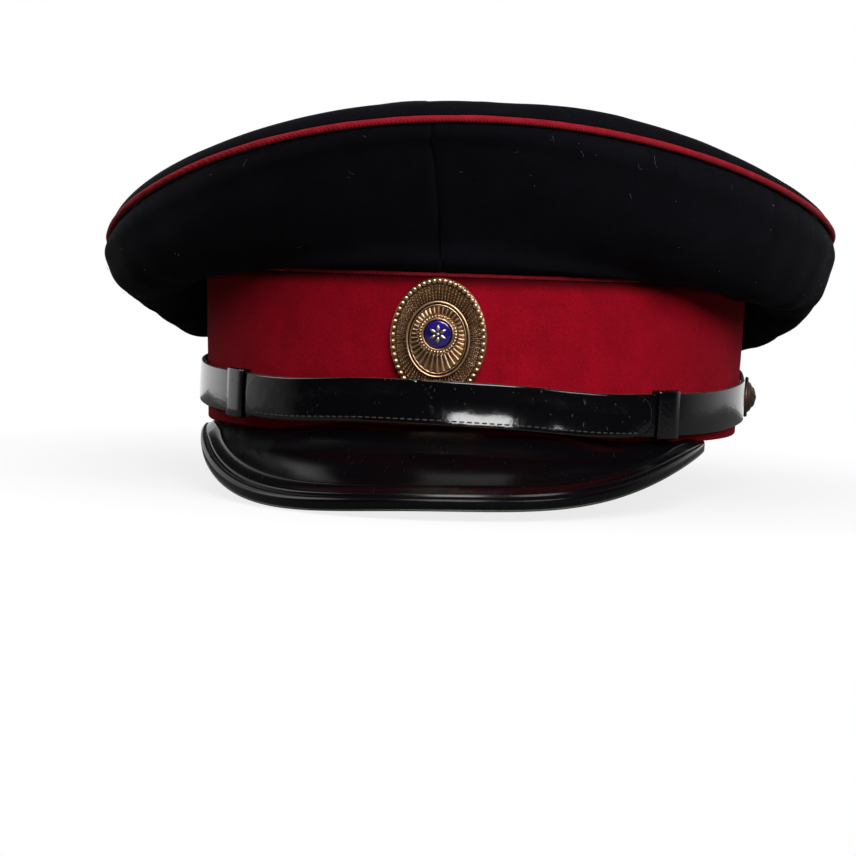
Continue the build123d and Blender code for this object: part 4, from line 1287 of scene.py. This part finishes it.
def make_cockade():
    """Stamped oval badge: plate, beads, dotted rays, double ring, boss, enamel and rosette."""
    wide, tall = COCKADE_HALF_WIDTH, COCKADE_HALF_HEIGHT

    def plate_height(share, turn, x, y):
        edge = smooth(share / 0.05)
        return mix(0.45, COCKADE_BASE, edge) + 0.03 * lumps(Vector((x, y, 0)), 5, 2)

    rings = ring_pairs((wide, tall), (0.05, 0.05), 40)
    plate = oval_plate("cockade_plate", rings, 200, plate_height, 0.0)
    place_piece(plate, "cap", "brass", BRASS, "cockade_base")

    beads = []
    for turn in turns(BEAD_COUNT):
        stretch = 1 / sqrt((wide * cos(turn)) ** 2 + (tall * sin(turn)) ** 2)
        centre = ((wide - 0.9) * sin(turn), (tall - 0.9) * cos(turn), COCKADE_BASE + 0.55)
        beads.append(ball(centre, 0.86 + 0.4 * (stretch - 0.058)))
    place_piece(join_lofts("cockade_bead_edge", beads), "cap", "brass", BRASS, "cockade_beads")

    def ray_height(share, turn, x, y):
        ridge = (0.5 + 0.5 * cos(RAY_COUNT * turn)) ** 0.9
        dots = (0.5 - 0.5 * cos(2 * pi * 5 * share)) ** 0.6
        return COCKADE_BASE + 0.1 + 0.95 * ridge * (0.25 + 0.75 * dots)

    rings = ring_pairs((wide - 1.95, tall - 1.95), (10.05, 12.0), 60)
    rays = oval_plate("cockade_dotted_rays", rings, 1008, ray_height, COCKADE_BASE)
    place_piece(rays, "cap", "brass", BRASS, "cockade_rays")

    def ring_height(share, turn, x, y):
        outer_roll = sqrt(max(0.0, 1 - ((share - 0.26) / 0.26) ** 2))
        inner_roll = sqrt(max(0.0, 1 - ((share - 0.8) / 0.2) ** 2))
        return COCKADE_BASE + 0.35 + 0.95 * outer_roll + 0.7 * inner_roll

    rings = ring_pairs((10.1, 12.05), (8.3, 10.2), 28)
    ring = oval_plate("cockade_double_ring", rings, 180, ring_height, COCKADE_BASE)
    place_piece(ring, "cap", "brass", BRASS, "cockade_ring")

    def boss_height(share, turn, x, y):
        away = hypot(x, y - ENAMEL_OFFSET)
        around = atan(x / (y - ENAMEL_OFFSET)) if abs(y - ENAMEL_OFFSET) > 0.001 else pi / 2
        flute = (0.5 + 0.5 * cos(36 * around)) ** 0.8
        rim = 0.75 * bell(away - ENAMEL_RADIUS - 0.55, 0.38)
        pearl = sqrt(max(0.0, 1 - ((away - 5.6) / 0.42) ** 2)) * abs(cos(18 * around)) ** 0.5
        field = 0.1 + 0.8 * flute * smooth((away - 6.1) / 0.4) + 0.6 * pearl
        dome = 0.35 * sin(pi * min(1.0, share + 0.2))
        seat = smooth((away - ENAMEL_RADIUS + 0.1) / 0.3)
        return COCKADE_BASE + 0.3 + (field + dome) * seat + rim

    rings = ring_pairs((8.25, 10.15), (0.05, 0.05), 90)
    boss = oval_plate("cockade_fluted_boss", rings, 560, boss_height, COCKADE_BASE)
    place_piece(boss, "cap", "brass", BRASS, "cockade_medallion")

    disc = []
    edge = ENAMEL_RADIUS - 0.05
    foot = COCKADE_BASE + 0.7
    for turn in turns(96):
        loop = []
        for step in range(25):
            share = step / 24
            radius = edge * (1 - share) + 0.01
            height = COCKADE_BASE + 1.0 + 0.45 * sqrt(max(0.0, 1 - (1 - share) ** 2))
            x, y = radius * sin(turn), radius * cos(turn) + ENAMEL_OFFSET
            loop.append(cockade_point(x, y, height))
        loop.append(cockade_point(0, ENAMEL_OFFSET, foot))
        loop.append(cockade_point(edge * sin(turn), edge * cos(turn) + ENAMEL_OFFSET, foot))
        disc.append(loop)
    enamel_disc = loft("cockade_enamel_disc", disc, ring=True)
    place_piece(enamel_disc, "cap", "blue_enamel", BLUE, "cockade_enamel")

    petals = []
    top = COCKADE_BASE + 1.5
    for turn in turns(PETAL_COUNT):
        loops = []
        for step in range(1, 10):
            share = step / 10
            along = 0.55 + 2.5 * share
            half = 0.62 * sin(pi * share**0.8)
            loop = []
            for around in turns(8):
                x = half * cos(around)
                z = top + 0.02 + 0.28 * sin(around) * sin(pi * share) ** 0.7
                loop.append(cockade_point(
                    x * cos(turn) + along * sin(turn),
                    along * cos(turn) - x * sin(turn) + ENAMEL_OFFSET,
                    z,
                ))
            loops.append(loop)
        petals.append(loops)
    petals.append(ball((0, ENAMEL_OFFSET, top + 0.1), 0.62, 8, 16))
    rosette = join_lofts("cockade_six_petals", petals)
    place_piece(rosette, "cap", "brass", PALE_METAL, "cockade_rosette")


# ---------------------------------------------------------------- carried-over nodes
def make_hidden():
    """Materials of the CAD nodes that stay as they are."""
    looks = (
        (BOARD, "pressed_board", ("band_stiffener", "front_buckram")),
        (CUT_EDGE, "sweat_leather", ("visor_seam_tape",)),
        (STEEL, "spring_steel", ("hoop_wire", "hoop_ferrule", "front_stay")),
        (PADDING, "wadding", ("front_wadding",)),
        (SATIN, "lining_satin", ("lining_side", "lining_top")),
        (FILM, "clear_film", ("label_film",)),
        (BRASS, "brass", ("cockade_prongs",)),
        (BRONZE, "brass", ("button_left_back", "button_right_back")),
        (BRONZE, "brass", ("button_left_washer", "button_right_washer")),
    )
    for material, slot, names in looks:
        for name in names:
            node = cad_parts[name]
            node.data.materials.clear()
            node.data.materials.append(material)


# ---------------------------------------------------------------- studio
def studio_material():
    """Pale paper that the camera sees nearly white, and that reflects little onto the cap."""
    graph = Graph("studio_paper")
    cloud = graph.noise(3, 2, 0.5)
    graph.set(Base_Color=graph.shades(cloud, 0.3, 0.7, (0.13, 0.13, 0.13), (0.14, 0.14, 0.14)))
    rays = graph.tree.nodes.new("ShaderNodeLightPath")
    away = graph.node("ShaderNodeVectorMath")
    away.operation = "LENGTH"
    graph.link(graph.place, away, 0)
    near = graph.ramp(away.outputs["Value"], (0.1, 0.8), (0.5, 1.0))
    glow = graph.maths("MULTIPLY", rays.outputs["Is Camera Ray"], near)
    graph.set(Roughness=0.9, Specular_IOR_Level=0.0, Emission_Color=(1.0, 1.0, 1.0))
    graph.link(glow, graph.shader, "Emission Strength")
    return graph.owner


def area_light(name, energy, width, height, azimuth, elevation, distance):
    """Softbox aimed at the cap. Azimuth 0 is in front, 90 on the +X side."""
    data = bpy.data.lights.new(name, "AREA")
    data.shape = "RECTANGLE"
    data.energy = energy
    data.size = width
    data.size_y = height
    light = bpy.data.objects.new(name, data)
    bpy.context.scene.collection.objects.link(light)
    around, up = radians(azimuth), radians(elevation)
    away = Vector((sin(around) * cos(up), -cos(around) * cos(up), sin(up)))
    light.location = Vector(LIGHT_AIM) + away * distance
    light.rotation_euler = away.to_track_quat("Z", "Y").to_euler()


def make_world():
    """Surround: dark in front, bright behind, and white where the camera sees it directly."""
    graph = Graph("studio_surround", world=True)
    split = graph.node("ShaderNodeSeparateXYZ")
    graph.link(graph.place, split, 0)
    lean = graph.maths("MULTIPLY", split.outputs["X"], -0.3)
    back = graph.maths("ADD", lean, split.outputs["Y"])
    share = graph.node("ShaderNodeMapRange", From_Min=-1.0, From_Max=1.0)
    graph.link(back, share, "Value")
    glow = graph.ramp(share.outputs["Result"], (0.5, (0.01, 0.01, 0.011)), (0.7, 0.35), (0.95, 1.0))
    rays = graph.tree.nodes.new("ShaderNodeLightPath")
    seen = graph.blend(rays.outputs["Is Camera Ray"], glow, (1, 1, 1))
    graph.link(seen, graph.shader, "Color")
    bpy.context.scene.world = graph.owner


def make_studio():
    """Pale floor, surround and softboxes."""
    half = FLOOR_HALF_SIZE
    corners = ((-half, -half), (half, -half), (half, half), (-half, half))
    points = [Vector((x, y, FLOOR_HEIGHT)) for x, y in corners]
    floor = add_mesh("studio_floor", points, [(0, 1, 2, 3)])
    floor.data.materials.append(studio_material())
    bpy.context.scene.view_settings.view_transform = "Standard"
    make_world()
    for light in LIGHTS:
        area_light(*light)


def make_camera():
    """Camera at the viewing angle: nearly level, a little to the right of the front."""
    yaw, pitch, roll = CAMERA_YAW, CAMERA_PITCH, CAMERA_ROLL
    forward = Vector((-sin(yaw) * cos(pitch), cos(yaw) * cos(pitch), sin(pitch)))
    level = Vector((cos(yaw), sin(yaw), 0))
    upward = level.cross(forward)
    right = level * cos(roll) + upward * sin(roll)
    top = upward * cos(roll) - level * sin(roll)
    data = bpy.data.cameras.new("camera")
    data.lens = CAMERA_LENS
    data.sensor_width = 36.0
    data.clip_start = 0.05
    data.clip_end = 50.0
    camera = bpy.data.objects.new("camera", data)
    bpy.context.scene.collection.objects.link(camera)
    matrix = Matrix((right, top, -forward)).transposed().to_4x4()
    matrix.translation = Vector(CAMERA_PLACE)
    camera.matrix_world = matrix
    bpy.context.scene.camera = camera


make_crown()
make_lint()
make_band()
make_inside()
make_visor()
make_strap()
make_buttons()
make_cockade()
make_hidden()
make_studio()
make_camera()
